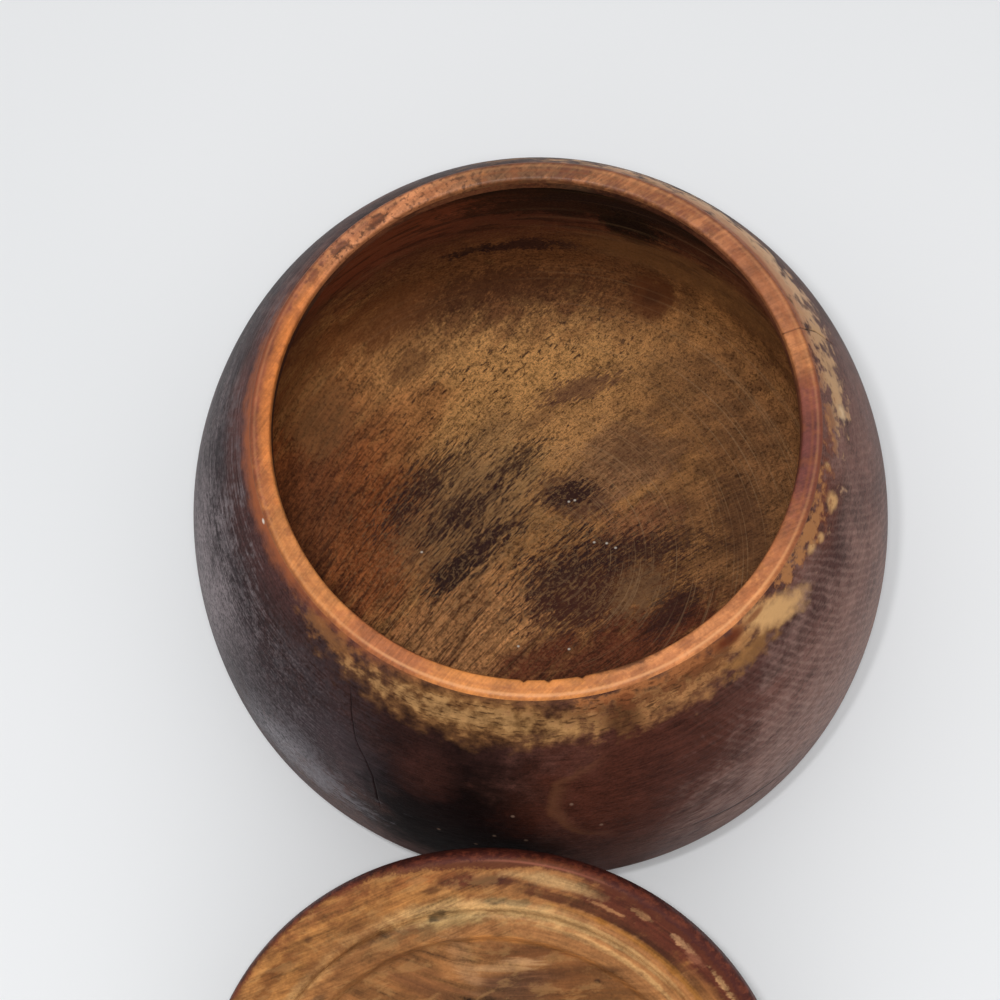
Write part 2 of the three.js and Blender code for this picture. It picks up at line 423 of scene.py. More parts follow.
def waviness(turn, height):
    """From 0 to 1: a half, plus 2, 3 and 7 waves round the bowl, each smaller than the one
    before. The last two also turn slowly with the height."""
    return (0.5 + 0.25 * np.sin(2 * turn + 0.7) + 0.15 * np.sin(3 * turn + height / 23)
            + 0.1 * np.sin(7 * turn - height / 17))


def shape_bowl():
    """The bowl's grid of points: the profile round the axis, sunk along its normal by the
    grooves, by the waviness outside, and on the lip by 5 waves times 9 waves."""
    turn = np.radians(bowl_direction)
    zone = bowl_zones[:, None]
    side = np.clip((bowl_height - FOOT_KEPT_TRUE) / FOOT_BLEND, 0, 1) * (zone == 0)
    lip = (zone == 1) * (1 + np.sin(5 * turn + 1) * np.sin(9 * turn))
    sink = bowl_sink + UNEVENNESS * waviness(turn, bowl_height) * side + LIP_UNEVENNESS * lip
    normal = outward(bowl_outline)
    radius = bowl_radius - sink * normal[:, :1]
    height = bowl_height - sink * normal[:, 1:]
    return np.stack([radius * np.cos(turn), radius * np.sin(turn), height], axis=-1)


bowl = closed_mesh("turned_bowl", shape_bowl(), bowl_zones, cut=bowl_cut)

# %% [markdown]
# ## Where the lid lies
#
# The lid has its own frame: height 0 is the face that rests on the bowl's lip, and the knob
# points up. It lies tilted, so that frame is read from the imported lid: a turned solid is
# widest across its axis, which makes the axis the direction in which its corners spread
# least. Its underside ring is the part that reaches furthest away from the knob.

# %% Read the lid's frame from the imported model
LID_RADIUS = 64
LID_RING_HEIGHT = 3.2


def corners_of(node):
    """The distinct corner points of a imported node, in millimetres."""
    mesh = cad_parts[node].data
    flat = np.empty(3 * len(mesh.vertices))
    mesh.vertices.foreach_get("co", flat)
    return np.unique(np.round(flat.reshape(-1, 3) / MM, 3), axis=0)


def lid_frame():
    """The lid's origin and its three directions: uphill along its face, level along its face,
    and along its axis towards the knob."""
    corners = corners_of("lid")
    centre = corners.mean(axis=0)
    _, directions = np.linalg.eigh(np.cov((corners - centre).T))
    axis = directions[:, 0]
    axis = axis * np.sign(axis @ (corners_of("lid_knob").mean(axis=0) - centre))
    ring_end = ((corners - centre) @ axis).min()
    origin = centre + axis * (ring_end + LID_RING_HEIGHT)
    uphill = np.array([0, 0, 1]) - axis * axis[2]
    uphill = uphill / np.linalg.norm(uphill)
    return origin, np.stack([uphill, np.cross(axis, uphill), axis])


lid_origin, lid_axes = lid_frame()
lid_tilt = math.degrees(math.acos(-lid_axes[2, 2]))
print("lid lies at", np.round(lid_origin, 1), "mm, tilted", round(lid_tilt, 1), "degrees")

# %% [markdown]
# ## The lid
#
# The lid is a shallow dome with a rounded edge. Underneath, a ring drops into the mouth and
# the middle is dished so that the lid isn't heavy. The top has a blind hole for the knob's
# tenon. The profile becomes the same kind of grid as the bowl's, in the lid's own frame, and
# is then moved to where the lid lies. It is sunk by a tenth of a millimetre, which keeps it
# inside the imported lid.

# %% Turn the lid
LID_EDGE_THICKNESS = 5
LID_EDGE_ROUND = 2.2
LID_RISE = 13
LID_TOP = LID_EDGE_THICKNESS + LID_RISE
RING_RADIUS = 52.3
DISH_RADIUS = 46.3
RING_ROUND = 1.7
RING_FOOT_ROUND = 1.4
DISH_FOOT = 44.6
DISH_FOOT_ROUND = 2.6
LID_SHRINK = 0.1
LID_COLUMNS = 420
DISH_DEPTH = 4.5
DISH_WALL_LEAN = 0.6
DOME_START = LID_RADIUS - 6
SEAT_RADIUS = 10.8
HOLE_RADIUS = 5.8
HOLE_DEPTH = 8.3


def lid_profile():
    """The lid's points in its own frame and their zones: 0 underside, 1 edge, 2 top."""
    share = np.linspace(0, DISH_FOOT / DISH_RADIUS, 42)
    dish = np.stack([DISH_RADIUS * share, DISH_DEPTH * (1 - share ** 2)], axis=1)
    dish_foot, dish_edge = dish[-1], (DISH_RADIUS + DISH_WALL_LEAN, -LID_RING_HEIGHT)
    ring_edge = (RING_RADIUS, -LID_RING_HEIGHT)
    ring_foot = (RING_RADIUS, 0)
    low, high = (LID_RADIUS, 0), (LID_RADIUS, LID_EDGE_THICKNESS)
    radius = np.linspace(DOME_START, SEAT_RADIUS, 46)
    outwards = (radius - SEAT_RADIUS) / (LID_RADIUS - SEAT_RADIUS)
    rise = LID_EDGE_THICKNESS + LID_RISE * (1 - outwards ** 2)
    dome = np.stack([radius, rise], axis=1)
    dish_arc = eased(dish[-3], dish_foot, dish_edge, DISH_FOOT_ROUND, 7)
    inner_arc = eased(dish_foot, dish_edge, ring_edge, RING_ROUND, 7)
    outer_arc = eased(dish_edge, ring_edge, ring_foot, RING_ROUND, 7)
    foot_arc = eased(ring_edge, ring_foot, low, RING_FOOT_ROUND, 5)
    low_arc = eased(ring_foot, low, high, LID_EDGE_ROUND, 9)
    high_arc = eased(low, high, dome[0], LID_EDGE_ROUND, 8)
    hole_top, hole_end = (HOLE_RADIUS, LID_TOP), (HOLE_RADIUS, LID_TOP - HOLE_DEPTH)
    parts = [
        (0, dish[:-3]), (0, dish_arc), (0, inner_arc),
        (0, straight(inner_arc[-1], outer_arc[0], 4)), (0, outer_arc), (0, foot_arc),
        (0, straight(foot_arc[-1], low_arc[0], 10)), (1, low_arc), (1, high_arc),
        (2, dome), (2, straight(dome[-1], hole_top, 3)), (2, [hole_top]),
        (2, straight(hole_top, hole_end, 4)), (2, [hole_end]), (2, [(0, LID_TOP - HOLE_DEPTH)]),
    ]
    zones = np.concatenate([np.full(len(points), zone) for zone, points in parts])
    return np.vstack([np.array(points) for zone, points in parts]), zones


def turned_grid(profile, columns, sink=0.0):
    """A profile carried round the axis in the lid's frame, sunk along its normal, and moved to
    where the lid lies: origin + x * uphill + y * level + z * axis."""
    turn = np.linspace(0, 2 * math.pi, columns, endpoint=False)[None]
    normal = outward(profile)
    radius = profile[:, :1] - sink * normal[:, :1]
    height = profile[:, 1:] - sink * normal[:, 1:] + np.zeros_like(turn)
    local = np.stack([radius * np.cos(turn), radius * np.sin(turn), height], axis=-1)
    return lid_origin + local @ lid_axes


lid_outline, lid_zones = lid_profile()
lid = closed_mesh("turned_lid", turned_grid(lid_outline, LID_COLUMNS, LID_SHRINK), lid_zones)

# %% [markdown]
# ## The knob's shape
#
# The knob is a small spindle: a tenon that is glued into the lid's hole, a flat foot that
# covers the joint, a hollowed waist for two fingers, and a rounded head. It hides under the
# lid here, but it is what the lid lies on. Each curve is a quarter of an ellipse, and the
# head's middle is closed by a shallow parabola.

# %% Turn the knob
KNOB_RADIUS = 13
KNOB_HEIGHT = 19
GLUE_GAP = 0.3
KNOB_FOOT = LID_TOP + GLUE_GAP
KNOB_TOP = KNOB_FOOT + KNOB_HEIGHT
KNOB_FOOT_RADIUS = 9.6
KNOB_FOOT_RISE = 2
KNOB_EDGE = 0.5
KNOB_COLUMNS = 180
WAIST_RADIUS = 7.2
WAIST_SHARE = 0.3
HEAD_SHARE = 0.68
CROWN_SHARE = 0.45
CROWN_DROP = 0.6
TENON_RADIUS = 5.5
TENON_LENGTH = 8


def knob_profile():
    """Tenon, flat foot, hollowed waist and rounded head, in the lid's frame. The cap falls
    from the top by CROWN_DROP times the square of its share of the crown's radius."""
    tenon_end, tenon_top = (TENON_RADIUS, LID_TOP - TENON_LENGTH), (TENON_RADIUS, KNOB_FOOT)
    foot, foot_top = (KNOB_FOOT_RADIUS, KNOB_FOOT), (KNOB_FOOT_RADIUS, KNOB_FOOT + KNOB_FOOT_RISE)
    waist = (WAIST_RADIUS, foot_top[1] + WAIST_SHARE * (KNOB_HEIGHT - KNOB_FOOT_RISE))
    head = (KNOB_RADIUS, KNOB_FOOT + HEAD_SHARE * KNOB_HEIGHT)
    crown = (CROWN_SHARE * KNOB_RADIUS, KNOB_TOP - CROWN_DROP)
    cap = np.linspace(crown[0], 0, 8)[1:]
    cap_height = KNOB_TOP - CROWN_DROP * (cap / crown[0]) ** 2
    parts = [
        [(0, LID_TOP - TENON_LENGTH)],
        eased((0, tenon_end[1]), tenon_end, tenon_top, KNOB_EDGE, 3),
        straight(tenon_end, tenon_top, 5), [tenon_top], straight(tenon_top, foot, 4),
        eased(tenon_top, foot, foot_top, KNOB_EDGE, 4), bow(foot_top, waist, 16, False),
        bow(waist, head, 18, True)[1:], bow(head, crown, 20, True)[1:],
        np.stack([cap, cap_height], axis=1),
    ]
    return np.vstack([np.array(points) for points in parts])


knob = closed_mesh("turned_knob", turned_grid(knob_profile(), KNOB_COLUMNS, LID_SHRINK))

# %% [markdown]
# ## A small language for finishes
#
# A finish on wood is built up like a stain job: a ground colour, then washes, blotches and
# fine marks on top, each held to its own place. In Blender each of these is a chain of nodes.
# Wiring them by hand hides the idea, so a number that changes over the surface is wrapped in a
# small class here, and ordinary arithmetic on it adds the Math nodes. All other nodes come
# from one method that takes the node's type, its settings and what goes into its sockets.

# %% A number that changes over the surface
class Signal:
    """Wraps an output socket. Arithmetic with it adds Math nodes and gives a new signal."""

    def __init__(self, finish, socket):
        self.finish = finish
        self.socket = socket

    def math(self, operation, first, second=0.0):
        """One Math node on two numbers or signals."""
        return self.finish.node("ShaderNodeMath", {"operation": operation}, {0: first, 1: second})

    def __add__(self, other):
        return self.math("ADD", self, other)

    def __sub__(self, other):
        return self.math("SUBTRACT", self, other)

    def __rsub__(self, other):
        return self.math("SUBTRACT", other, self)

    def __mul__(self, other):
        return self.math("MULTIPLY", self, other)

    def __truediv__(self, other):
        return self.math("DIVIDE", self, other)

    __radd__ = __add__
    __rmul__ = __mul__

    def between(self, low, high):
        """0 up to low, 1 from high on, and a smooth rise in between."""
        return self.finish.node("ShaderNodeMapRange", {"interpolation_type": "SMOOTHSTEP"},
                                {"Value": self, "From Min": low, "From Max": high})

    def near(self, value, width):
        """1 at a value, falling smoothly to 0 at one width from it."""
        return 1 - self.math("ABSOLUTE", self - value).between(0, width)

    def wave(self):
        """The sine of a signal that is counted in whole turns."""
        return self.math("SINE", self * (2 * math.pi))


# %% [markdown]
# ## Places and patterns
#
# The finish reads Object coordinates, so the figure runs through the solid piece as it does
# in a real block: where the hollow cuts the same fibres as the outside, the streaks meet. A
# Mapping node of the Texture kind undoes a move, a turn and a scale, which gives a piece its
# own millimetres, a patch its own unit circle and a noise its own grain length with one node.

# %% A material that can find its way round a piece
class Surface:
    """A material on a Principled shader, with the nodes for places and for patterns."""

    def __init__(self, name, origin=(0, 0, 0), turn=(0, 0, 0)):
        self.material = bpy.data.materials.new(name)
        self.material.use_nodes = True
        self.tree = self.material.node_tree
        self.shader = self.tree.nodes["Principled BSDF"]
        start = self.node("ShaderNodeTexCoord", output="Object")
        self.where = self.seen_from(start, Vector(origin) * MM, turn, (MM, MM, MM))

    def node(self, kind, settings=None, sockets=None, output=0):
        """Adds a node: its settings first, then a value or a signal for each socket."""
        node = self.tree.nodes.new(kind)
        for name, value in (settings or {}).items():
            setattr(node, name, value)
        for name, value in (sockets or {}).items():
            self.feed(node.inputs[name], value)
        return Signal(self, node.outputs[output])

    def feed(self, socket, value):
        """Links a signal to a socket, or sets the socket's own value."""
        if isinstance(value, Signal):
            self.tree.links.new(value.socket, socket)
        else:
            socket.default_value = value

    def seen_from(self, where, origin=(0, 0, 0), turn=(0, 0, 0), size=(1, 1, 1)):
        """A position seen from another frame: (where - origin) turned back, over size."""
        return self.node("ShaderNodeMapping", {"vector_type": "TEXTURE"},
                         {"Vector": where, "Location": origin, "Scale": size,
                          "Rotation": [math.radians(angle) for angle in turn]}, "Vector")

    def parts(self, where):
        """The three numbers of a position."""
        first = self.node("ShaderNodeSeparateXYZ", sockets={0: where})
        outputs = first.socket.node.outputs
        return first, Signal(self, outputs[1]), Signal(self, outputs[2])

    def position(self, x, y, z=0.0):
        """A position put together from three numbers."""
        return self.node("ShaderNodeCombineXYZ", sockets={0: x, 1: y, 2: z})

    def around(self, middle):
        """Direction in degrees round the axis, with its seam opposite the middle direction,
        then the distance from the axis and the height."""
        x, y, z = self.parts(self.seen_from(self.where, turn=(0, 0, middle)))
        direction = x.math("ARCTAN2", y, x) * math.degrees(1) + middle
        return direction, self.distance(self.position(x, y)), z

    def distance(self, where):
        """How far a position is from the origin of its frame."""
        return self.node("ShaderNodeVectorMath", {"operation": "LENGTH"}, {0: where}, "Value")

    def noise(self, where, size, detail=3, roughness=0.5, warp=0.0):
        """Clouds of a size along each axis, from 0 to 1 and mostly near 0.5."""
        return self.node("ShaderNodeTexNoise", None,
                         {"Vector": self.seen_from(where, size=size), "Scale": 1.0,
                          "Detail": detail, "Roughness": roughness, "Distortion": warp})


# %% [markdown]
# ## Paint and patches
#
# Paint is a Mix node over the colour so far, and its factor says how far the new colour
# covers. Most places are patches: an ellipse with a soft edge that a noise tears open. The
# alternative, a painted image, would fix every speck but couldn't be read or changed. Height
# is kept in millimetres, which is what the Bump node's distance of one millimetre expects.

# %% A finish that is built up in layers
ENDLESS = 1000
# A Mix node has sockets for every kind of value, so those for colour are found by number.
MIX_SHARE, MIX_BELOW, MIX_ABOVE, MIX_RESULT = 0, 6, 7, 2


def colour(red, green, blue):
    """A colour as it is read off a screen, 0 to 255, turned into amounts of light."""
    amounts = (value / 255 for value in (red, green, blue))
    return (*(((amount + 0.055) / 1.055) ** 2.4 for amount in amounts), 1.0)


class Finish(Surface):
    """A surface whose colour is added to layer by layer, over a ground colour."""

    def __init__(self, name, ground, origin=(0, 0, 0), turn=(0, 0, 0)):
        super().__init__(name, origin, turn)
        self.colour = ground

    def paint(self, ink, share):
        """Covers the colour so far with another one, as far as share says."""
        self.colour = self.node("ShaderNodeMix", {"data_type": "RGBA"},
                                {MIX_SHARE: share, MIX_BELOW: self.colour, MIX_ABOVE: ink},
                                MIX_RESULT)

    def shade(self, strength):
        """Makes the colour so far darker or lighter: times strength."""
        self.colour = self.node("ShaderNodeVectorMath", {"operation": "SCALE"},
                                {0: self.colour, "Scale": strength}, "Vector")

    def patch(self, where, centre, half, turn=0, soft=0.35, grain=None, ragged=0.0):
        """1 in an ellipse and 0 outside it. 1 - distance, plus what the grain adds to it or
        takes away, makes an edge that is broken up the way a stain follows the fibres. Without
        a third number the ellipse reaches all the way up and down."""
        centre = (*centre, 0)[:3]
        half = (*half, ENDLESS)[:3]
        inside = 1 - self.distance(self.seen_from(where, centre, (0, 0, turn), half))
        if grain is not None:
            inside = inside + (grain - 0.5) * ragged
        return inside.between(-soft, soft)

    def spread(self, where, patches, grain, soft):
        """Paints one patch after another: centre, half lengths, turn, colour, amount, ragged."""
        for centre, half, turn, ink, amount, ragged in patches:
            self.paint(ink, self.patch(where, centre, half, turn, soft, grain, ragged) * amount)
        print(self.material.name, "takes", len(patches), "patches")

    def dots(self, where, centres, half, ink, amount):
        """Paints the same small, soft ellipse at each centre."""
        for centre in centres:
            self.paint(ink, self.patch(where, centre, half, soft=0.5) * amount)

    def report(self, step):
        """Prints how many nodes the finish has after a step."""
        print(self.material.name, "after the", step, "has", len(self.tree.nodes), "nodes")

    def finish(self, height, roughness, **shader):
        """Joins the layers to the shader: height in millimetres, and plain shader values."""
        for name, value in shader.items():
            self.shader.inputs[name.replace("_", " ")].default_value = value
        self.feed(self.shader.inputs["Base Color"], self.colour)
        self.feed(self.shader.inputs["Roughness"], roughness)
        bump = self.node("ShaderNodeBump", None, {"Distance": MM, "Height": height}, "Normal")
        self.feed(self.shader.inputs["Normal"], bump)
        self.report("last step")
        return self.material


# %% [markdown]
# ## The wood
#
# The block is a figured hardwood with dark, almost purple heartwood and pale sapwood. Its
# fibres run across the bowl at 38 degrees from the picture's right, and bend a little, which
# a parabola added across them gives. Five patterns are shared by all surfaces: fine fibres,
# broader streaks of early and late wood, a soft mottle, a fine grit of cut fibre ends, and
# flat clouds for the lines that turning leaves. Dashes and a ripple across the fibres, which
# makes the figure shimmer, are there for the surfaces that ask for them.

# %% The figure that all the wood shares
GRAIN_DIRECTION = 38
GRAIN_BEND = 0.0042
RIPPLE_LENGTH = 3.4
RIPPLE_BEND = 9


class Wood(Finish):
    """A finish with the figure of one block of wood, its fibres along x of its own frame."""

    def __init__(self, name, ground, grain=GRAIN_DIRECTION, origin=(0, 0, 0), turn=(0, 0, 0)):
        super().__init__(name, ground, origin, turn)
        x, y, z = self.parts(self.where)
        bent = self.position(x, y + x * x * GRAIN_BEND, z)
        self.along = self.seen_from(bent, turn=(0, 0, grain))
        # Sizes in millimetres: along the fibres, across them and up, or across the bowl and up.
        self.fibres = self.noise(self.along, (9, 0.42, 0.42), 3, 0.6)
        self.streaks = self.noise(self.along, (26, 1.9, 1.9), 4, 0.6, 0.4)
        self.mottle = self.noise(self.where, (6, 6, 6), 4, 0.65)
        self.grit = self.noise(self.where, (0.6, 0.6, 0.6), 2, 0.6)
        self.turning = self.noise(self.where, (18, 18, 0.55), 3, 0.6)

    def dashes(self, length, width, low, high):
        """Short dark dashes along the fibres: a noise stretched along them, cut off."""
        return self.noise(self.along, (length, width, width), 3, 0.55).between(low, high)

    def ripple(self):
        """A wave every few millimetres along the fibres, bent by clouds."""
        along, _, _ = self.parts(self.along)
        clouds = self.noise(self.where, (9, 9, 9), 2)
        return ((along + clouds * RIPPLE_BEND) / RIPPLE_LENGTH).wave()

    def figure(self, fibre, streak, mottle, grit, turning=0.0):
        """How light or dark the figure makes the wood: 1 on the average."""
        return ((self.fibres - 0.5) * fibre + (self.streaks - 0.5) * streak
                + (self.mottle - 0.5) * mottle + (self.grit - 0.5) * grit
                + (self.turning - 0.5) * turning + 1)


# %% [markdown]
# ## Inside the bowl
#
# The floor is the warmest part: honey-gold heartwood, rust on the left and olive on the
# right, with dark purple mineral stain that has crept along the fibres. A painted picture
# could carry all that, but it would say nothing about the wood. Here it is laid in the order
# in which it came about: the wood's colour, its fibres, the stains, and the marks of the
# tool. The grains made first are what breaks up the edges of everything that follows.

# %% Mix the colours and lay out the grain inside
HONEY = colour(204, 150, 90)
GOLD = colour(166, 116, 68)
OLIVE = colour(122, 82, 50)
RUST = colour(134, 72, 36)
BRICK = colour(88, 40, 24)
PLUM = colour(46, 24, 26)
PURPLE_RED = colour(72, 36, 28)
ASH = colour(134, 98, 66)
UMBER = colour(50, 26, 18)
INK = colour(36, 20, 22)
CHALK = colour(228, 220, 206)

inside = Wood("inside_wood", GOLD)
blurred = inside.noise(inside.along, (10, 4, 6), 5, 0.65)
broken = inside.noise(inside.along, (1.9, 0.6, 1.0), 5, 0.72)
flecked = inside.noise(inside.where, (0.9, 0.9, 0.9), 3, 0.7)
bristles = inside.noise(inside.along, (3.2, 0.55, 0.8), 4, 0.65)
spongy = broken * 0.35 + bristles * 0.4 + flecked * 0.25
wall_grain = blurred * 0.5 + broken * 0.5
end_grain = inside.patch(inside.where, (8, 42), (50, 30), 0, 0.6)
inside.report("grains")

# %% [markdown]
# ## Washes on the floor
#
# The wood's own colour changes slowly over the floor: honey in the middle and beyond it, rust
# at the left, brick red near the viewer and olive at the right. Each wash is an ellipse in
# millimetres with a very soft edge, laid over the ones before it, so that a place can be
# corrected without touching the rest. The light and dark of the fibres go over all of them.

# %% Lay the washes inside
# Each patch: centre, half lengths, turn, colour, how much of it, how ragged its edge is.
INSIDE_WASHES = (
    ((0, 67), (75, 12), 0, colour(104, 65, 38), 0.92, 2.0),
    ((-48, 14), (24, 34), -18, RUST, 0.95, 2.4),
    ((60, 0), (30, 48), 0, OLIVE, 0.9, 2.0),
    ((0, 40), (34, 19), 0, HONEY, 0.9, 2.4),
    ((4, 26), (28, 12), 20, colour(192, 138, 84), 0.75, 2.0),
    ((-20, -18), (20, 13), 45, colour(172, 118, 74), 0.85, 2.0),
    ((23, 6), (9, 6), 10, colour(140, 86, 60), 0.6, 3.0),
    ((-55, 18), (9, 24), -18, colour(98, 56, 32), 0.75, 2.0),
    ((-10, 28), (14, 8), 20, colour(192, 142, 88), 0.85, 2.4),
    ((-7, -15), (9, 7), 30, colour(190, 134, 84), 0.7, 2.4),
    ((18, -28), (36, 13), 8, BRICK, 0.95, 2.4),
    ((-57, -14), (11, 17), 20, colour(84, 42, 26), 0.8, 2.0),
    ((-32, 36), (16, 7), 35, colour(142, 84, 46), 0.6, 3.0),
    ((22, 22), (15, 9), 20, colour(138, 98, 70), 0.7, 3.0),
    ((-14, 14), (18, 12), 38, colour(150, 116, 74), 0.6, 3.0),
    ((40, 36), (16, 12), 0, colour(134, 92, 56), 0.6, 2.0),
)
inside.spread(inside.where, INSIDE_WASHES, blurred, 0.45)
inside.shade(inside.figure(2.1 - end_grain * 1.2, 1.9 - end_grain, 1.4, 1.5 + end_grain, 0.4)
             + (flecked - 0.5) * 1.8 + 0.16)

# %% [markdown]
# ## Pores and grit
#
# Where the gouge ran along the fibres, open pores show as short dark dashes, and where it cut
# across their ends, on the far side, they show as grit. Both are a noise that is cut off
# sharply: stretched along the fibres it gives dashes, unstretched it gives grains. Each kind
# is held to its own part of the floor by a large, soft ellipse.

# %% Add pores and grit
left_side = inside.patch(inside.where, (-40, -6), (30, 50), -12, 0.6)
dark_lines = inside.noise(inside.along, (13, 1.0, 1.0), 4, 0.6, 0.5)
low_left = inside.patch(inside.where, (-30, -30), (36, 24), -30, 0.6)
inside.paint(colour(56, 26, 14), dark_lines.between(0.5, 0.63) * low_left * 0.8)
inside.paint(colour(62, 28, 15), inside.dashes(4.5, 0.9, 0.52, 0.63) * left_side * 0.75)
right_side = inside.patch(inside.where, (44, 22), (24, 46), 0, 0.6)
inside.paint(colour(86, 56, 34), blurred.between(0.46, 0.62) * right_side * 0.35)
inside.paint(colour(80, 50, 32), flecked.between(0.55, 0.63) * right_side * 0.5)
inside.paint(colour(84, 50, 28), inside.dashes(2.4, 0.5, 0.58, 0.7) * (0.3 + 0.6 * blurred))
inside.paint(colour(92, 58, 34), inside.grit.between(0.54, 0.66) * end_grain * 0.7)
field = inside.patch(inside.where, (-6, 38), (46, 20), 25, 0.4)
inside.paint(PLUM, inside.dashes(2.6, 0.85, 0.6, 0.66) * field * 0.8)
inside.report("pores and grit")

# %% [markdown]
# ## Mineral stains
#
# Minerals in the sap have turned parts of the wood dark purple. The stain crept along the
# fibres, so each stain is a run of small ellipses laid along the grain, and a coarse mix of
# three noises tears their edges open. Light and dark flecks over them keep the wood visible
# through the stain. The knot on the far wall is two soft ellipsoids, one inside the other.

# %% Add the stains and the knot
INSIDE_STAINS = (
    ((-20, 12), (20, 14), 35, colour(120, 86, 60), 0.4, 5.0),
    ((-52, 42), (9, 12), 0, colour(140, 98, 60), 0.5, 3.0),
    ((13, -7), (20, 12), 8, PURPLE_RED, 0.75, 4.0),
    ((-17, 2), (12, 3.6), 39, PLUM, 0.9, 10.0),
    ((-22, -2.5), (8, 3.0), 39, INK, 0.85, 6.0),
    ((-8, 8), (9, 2.2), 36, PLUM, 0.6, 14.0),
    ((-19, 13), (9, 4), 30, PLUM, 0.85, 16.0),
    ((-24, 9), (6, 2), 38, PLUM, 0.7, 14.0),
    ((-12, 16), (8, 2), 38, PLUM, 0.6, 16.0),
    ((-26, 22), (9, 3.8), 38, PLUM, 0.85, 16.0),
    ((-33, 14), (6, 3), 35, PLUM, 0.75, 16.0),
    ((-4, 24), (7, 2.6), 38, PLUM, 0.8, 15.0),
    ((-8, 34), (6, 2.0), 35, PLUM, 0.3, 10.0),
    ((9, 14), (9, 5.5), -25, colour(84, 52, 42), 0.75, 7.0),
    ((9, 15), (6, 3.4), 10, PLUM, 0.9, 6.0),
    ((6, -6), (12, 7), 14, PLUM, 0.8, 14.0),
    ((8, -13), (12, 6), 24, PURPLE_RED, 0.8, 9.0),
    ((24, -1), (14, 3.6), 2, PLUM, 0.6, 14.0),
    ((22, -12), (7, 5), 20, ASH, 0.6, 9.0),
    ((30, -17), (8, 3.4), 40, PLUM, 0.65, 10.0),
    ((24, 24), (8, 4), 40, colour(98, 64, 44), 0.5, 10.0),
    ((4, 36), (8, 2), 30, colour(98, 62, 42), 0.5, 10.0),
    ((14, 42), (10, 2.6), 12, colour(96, 60, 50), 0.7, 7.0),
    ((-27, 52), (6, 3), 35, colour(104, 64, 38), 0.6, 5.0),
    ((50, 0), (5, 14), 10, colour(88, 56, 38), 0.5, 5.0),
)
inside.spread(inside.where, INSIDE_STAINS, spongy, 0.2)
stained = inside.patch(inside.where, (-8, 6), (40, 30), 20, 0.6)
inside.paint(colour(150, 114, 76), flecked.between(0.53, 0.61) * stained * 0.5)
inside.paint(colour(148, 110, 70), (1 - bristles.between(0.38, 0.44)) * stained * 0.5)
inside.paint(colour(46, 28, 28), bristles.between(0.58, 0.64) * stained * 0.6)
inside.paint(colour(74, 44, 28), (1 - flecked.between(0.38, 0.48)) * 0.4)
KNOT = (34, 60, 26)
knot_rim = inside.patch(inside.where, KNOT, (6, 5, 8), 0, 0.4, blurred, 1.5)
knot_heart = inside.patch(inside.where, KNOT, (2.6, 1.8, 4), 0, 0.5, blurred, 1.5)
inside.paint(colour(96, 54, 30), knot_rim * 0.85)
inside.paint(colour(72, 40, 24), knot_heart * 0.6)

# %% [markdown]
# ## The wall inside
#
# The wall is darker than the floor, and its marks run round it: a reddish band under the lip,
# a nearly black shadow of stain at the far right, and thin layers one above the other. At the
# left, a dark band under the lip is painted shade. They are placed like towns on a globe, by
# direction in degrees and height in millimetres. The far side is the middle of that map, so
# its seam is on the near wall. The photograph can't see it there, and the marks have all but
# faded out before they reach it.

# %% Finish the wall
direction, reach, height = inside.around(90)
on_wall = inside.position(direction, height)
INSIDE_WALL = (
    ((90, 84), (220, 36), 0, colour(100, 52, 36), 0.9, 1.2),
    ((116, 78), (26, 22), 0, colour(150, 78, 50), 0.85, 2.0),
    ((66, 86), (29, 26), 0, colour(44, 22, 16), 0.95, 2.0),
    ((88, 91), (32, 10), 0, colour(50, 21, 17), 0.92, 3.0),
    ((92, 91), (10, 4), 0, colour(14, 7, 8), 0.9, 5.0),
    ((75, 88), (12, 6), 0, colour(16, 8, 9), 0.9, 4.0),
    ((83, 62), (34, 9), 0, colour(92, 50, 34), 0.35, 4.0),
    ((67, 64), (7, 13), -20, colour(12, 6, 7), 0.95, 3.0),
    ((84, 68), (16, 6), 0, UMBER, 0.8, 5.0),
    ((66, 76), (18, 5), 0, INK, 0.7, 6.0),
    ((86, 41), (11, 2.8), 0, PLUM, 0.8, 7.0),
    ((97, 42), (5, 2), 0, INK, 0.7, 7.0),
    ((94, 25), (20, 4), 0, colour(76, 43, 26), 0.7, 9.0),
    ((120, 30), (14, 8), 0, colour(128, 78, 44), 0.5, 4.0),
    # Painted shade: a dark band under the lip at the left.
    ((190, 104), (56, 12), 0, colour(40, 20, 15), 0.85, 1.5),
    ((52, 45), (24, 8), 0, colour(132, 92, 54), 0.6, 2.0),
)
inside.spread(on_wall, INSIDE_WALL, wall_grain, 0.35)
layered = inside.noise(inside.where, (12, 12, 2.4), 5, 0.66)
inside.paint(colour(42, 22, 17), layered.between(0.5, 0.62) * height.between(34, 60) * 0.65)

# %% [markdown]
# ## Rings, specks and gloss inside
#
# The last pass of the gouge left fine bright rings, seen best at the right. They are a noise
# over x / reach, y / reach and reach, which changes quickly with the distance from the axis,
# slowly with the direction, and has no seam. A few white specks are dust. The inside was
# never waxed, so it is rough and mirrors very little, and its height is fibres, rings and
# grit of a few hundredths of a millimetre.

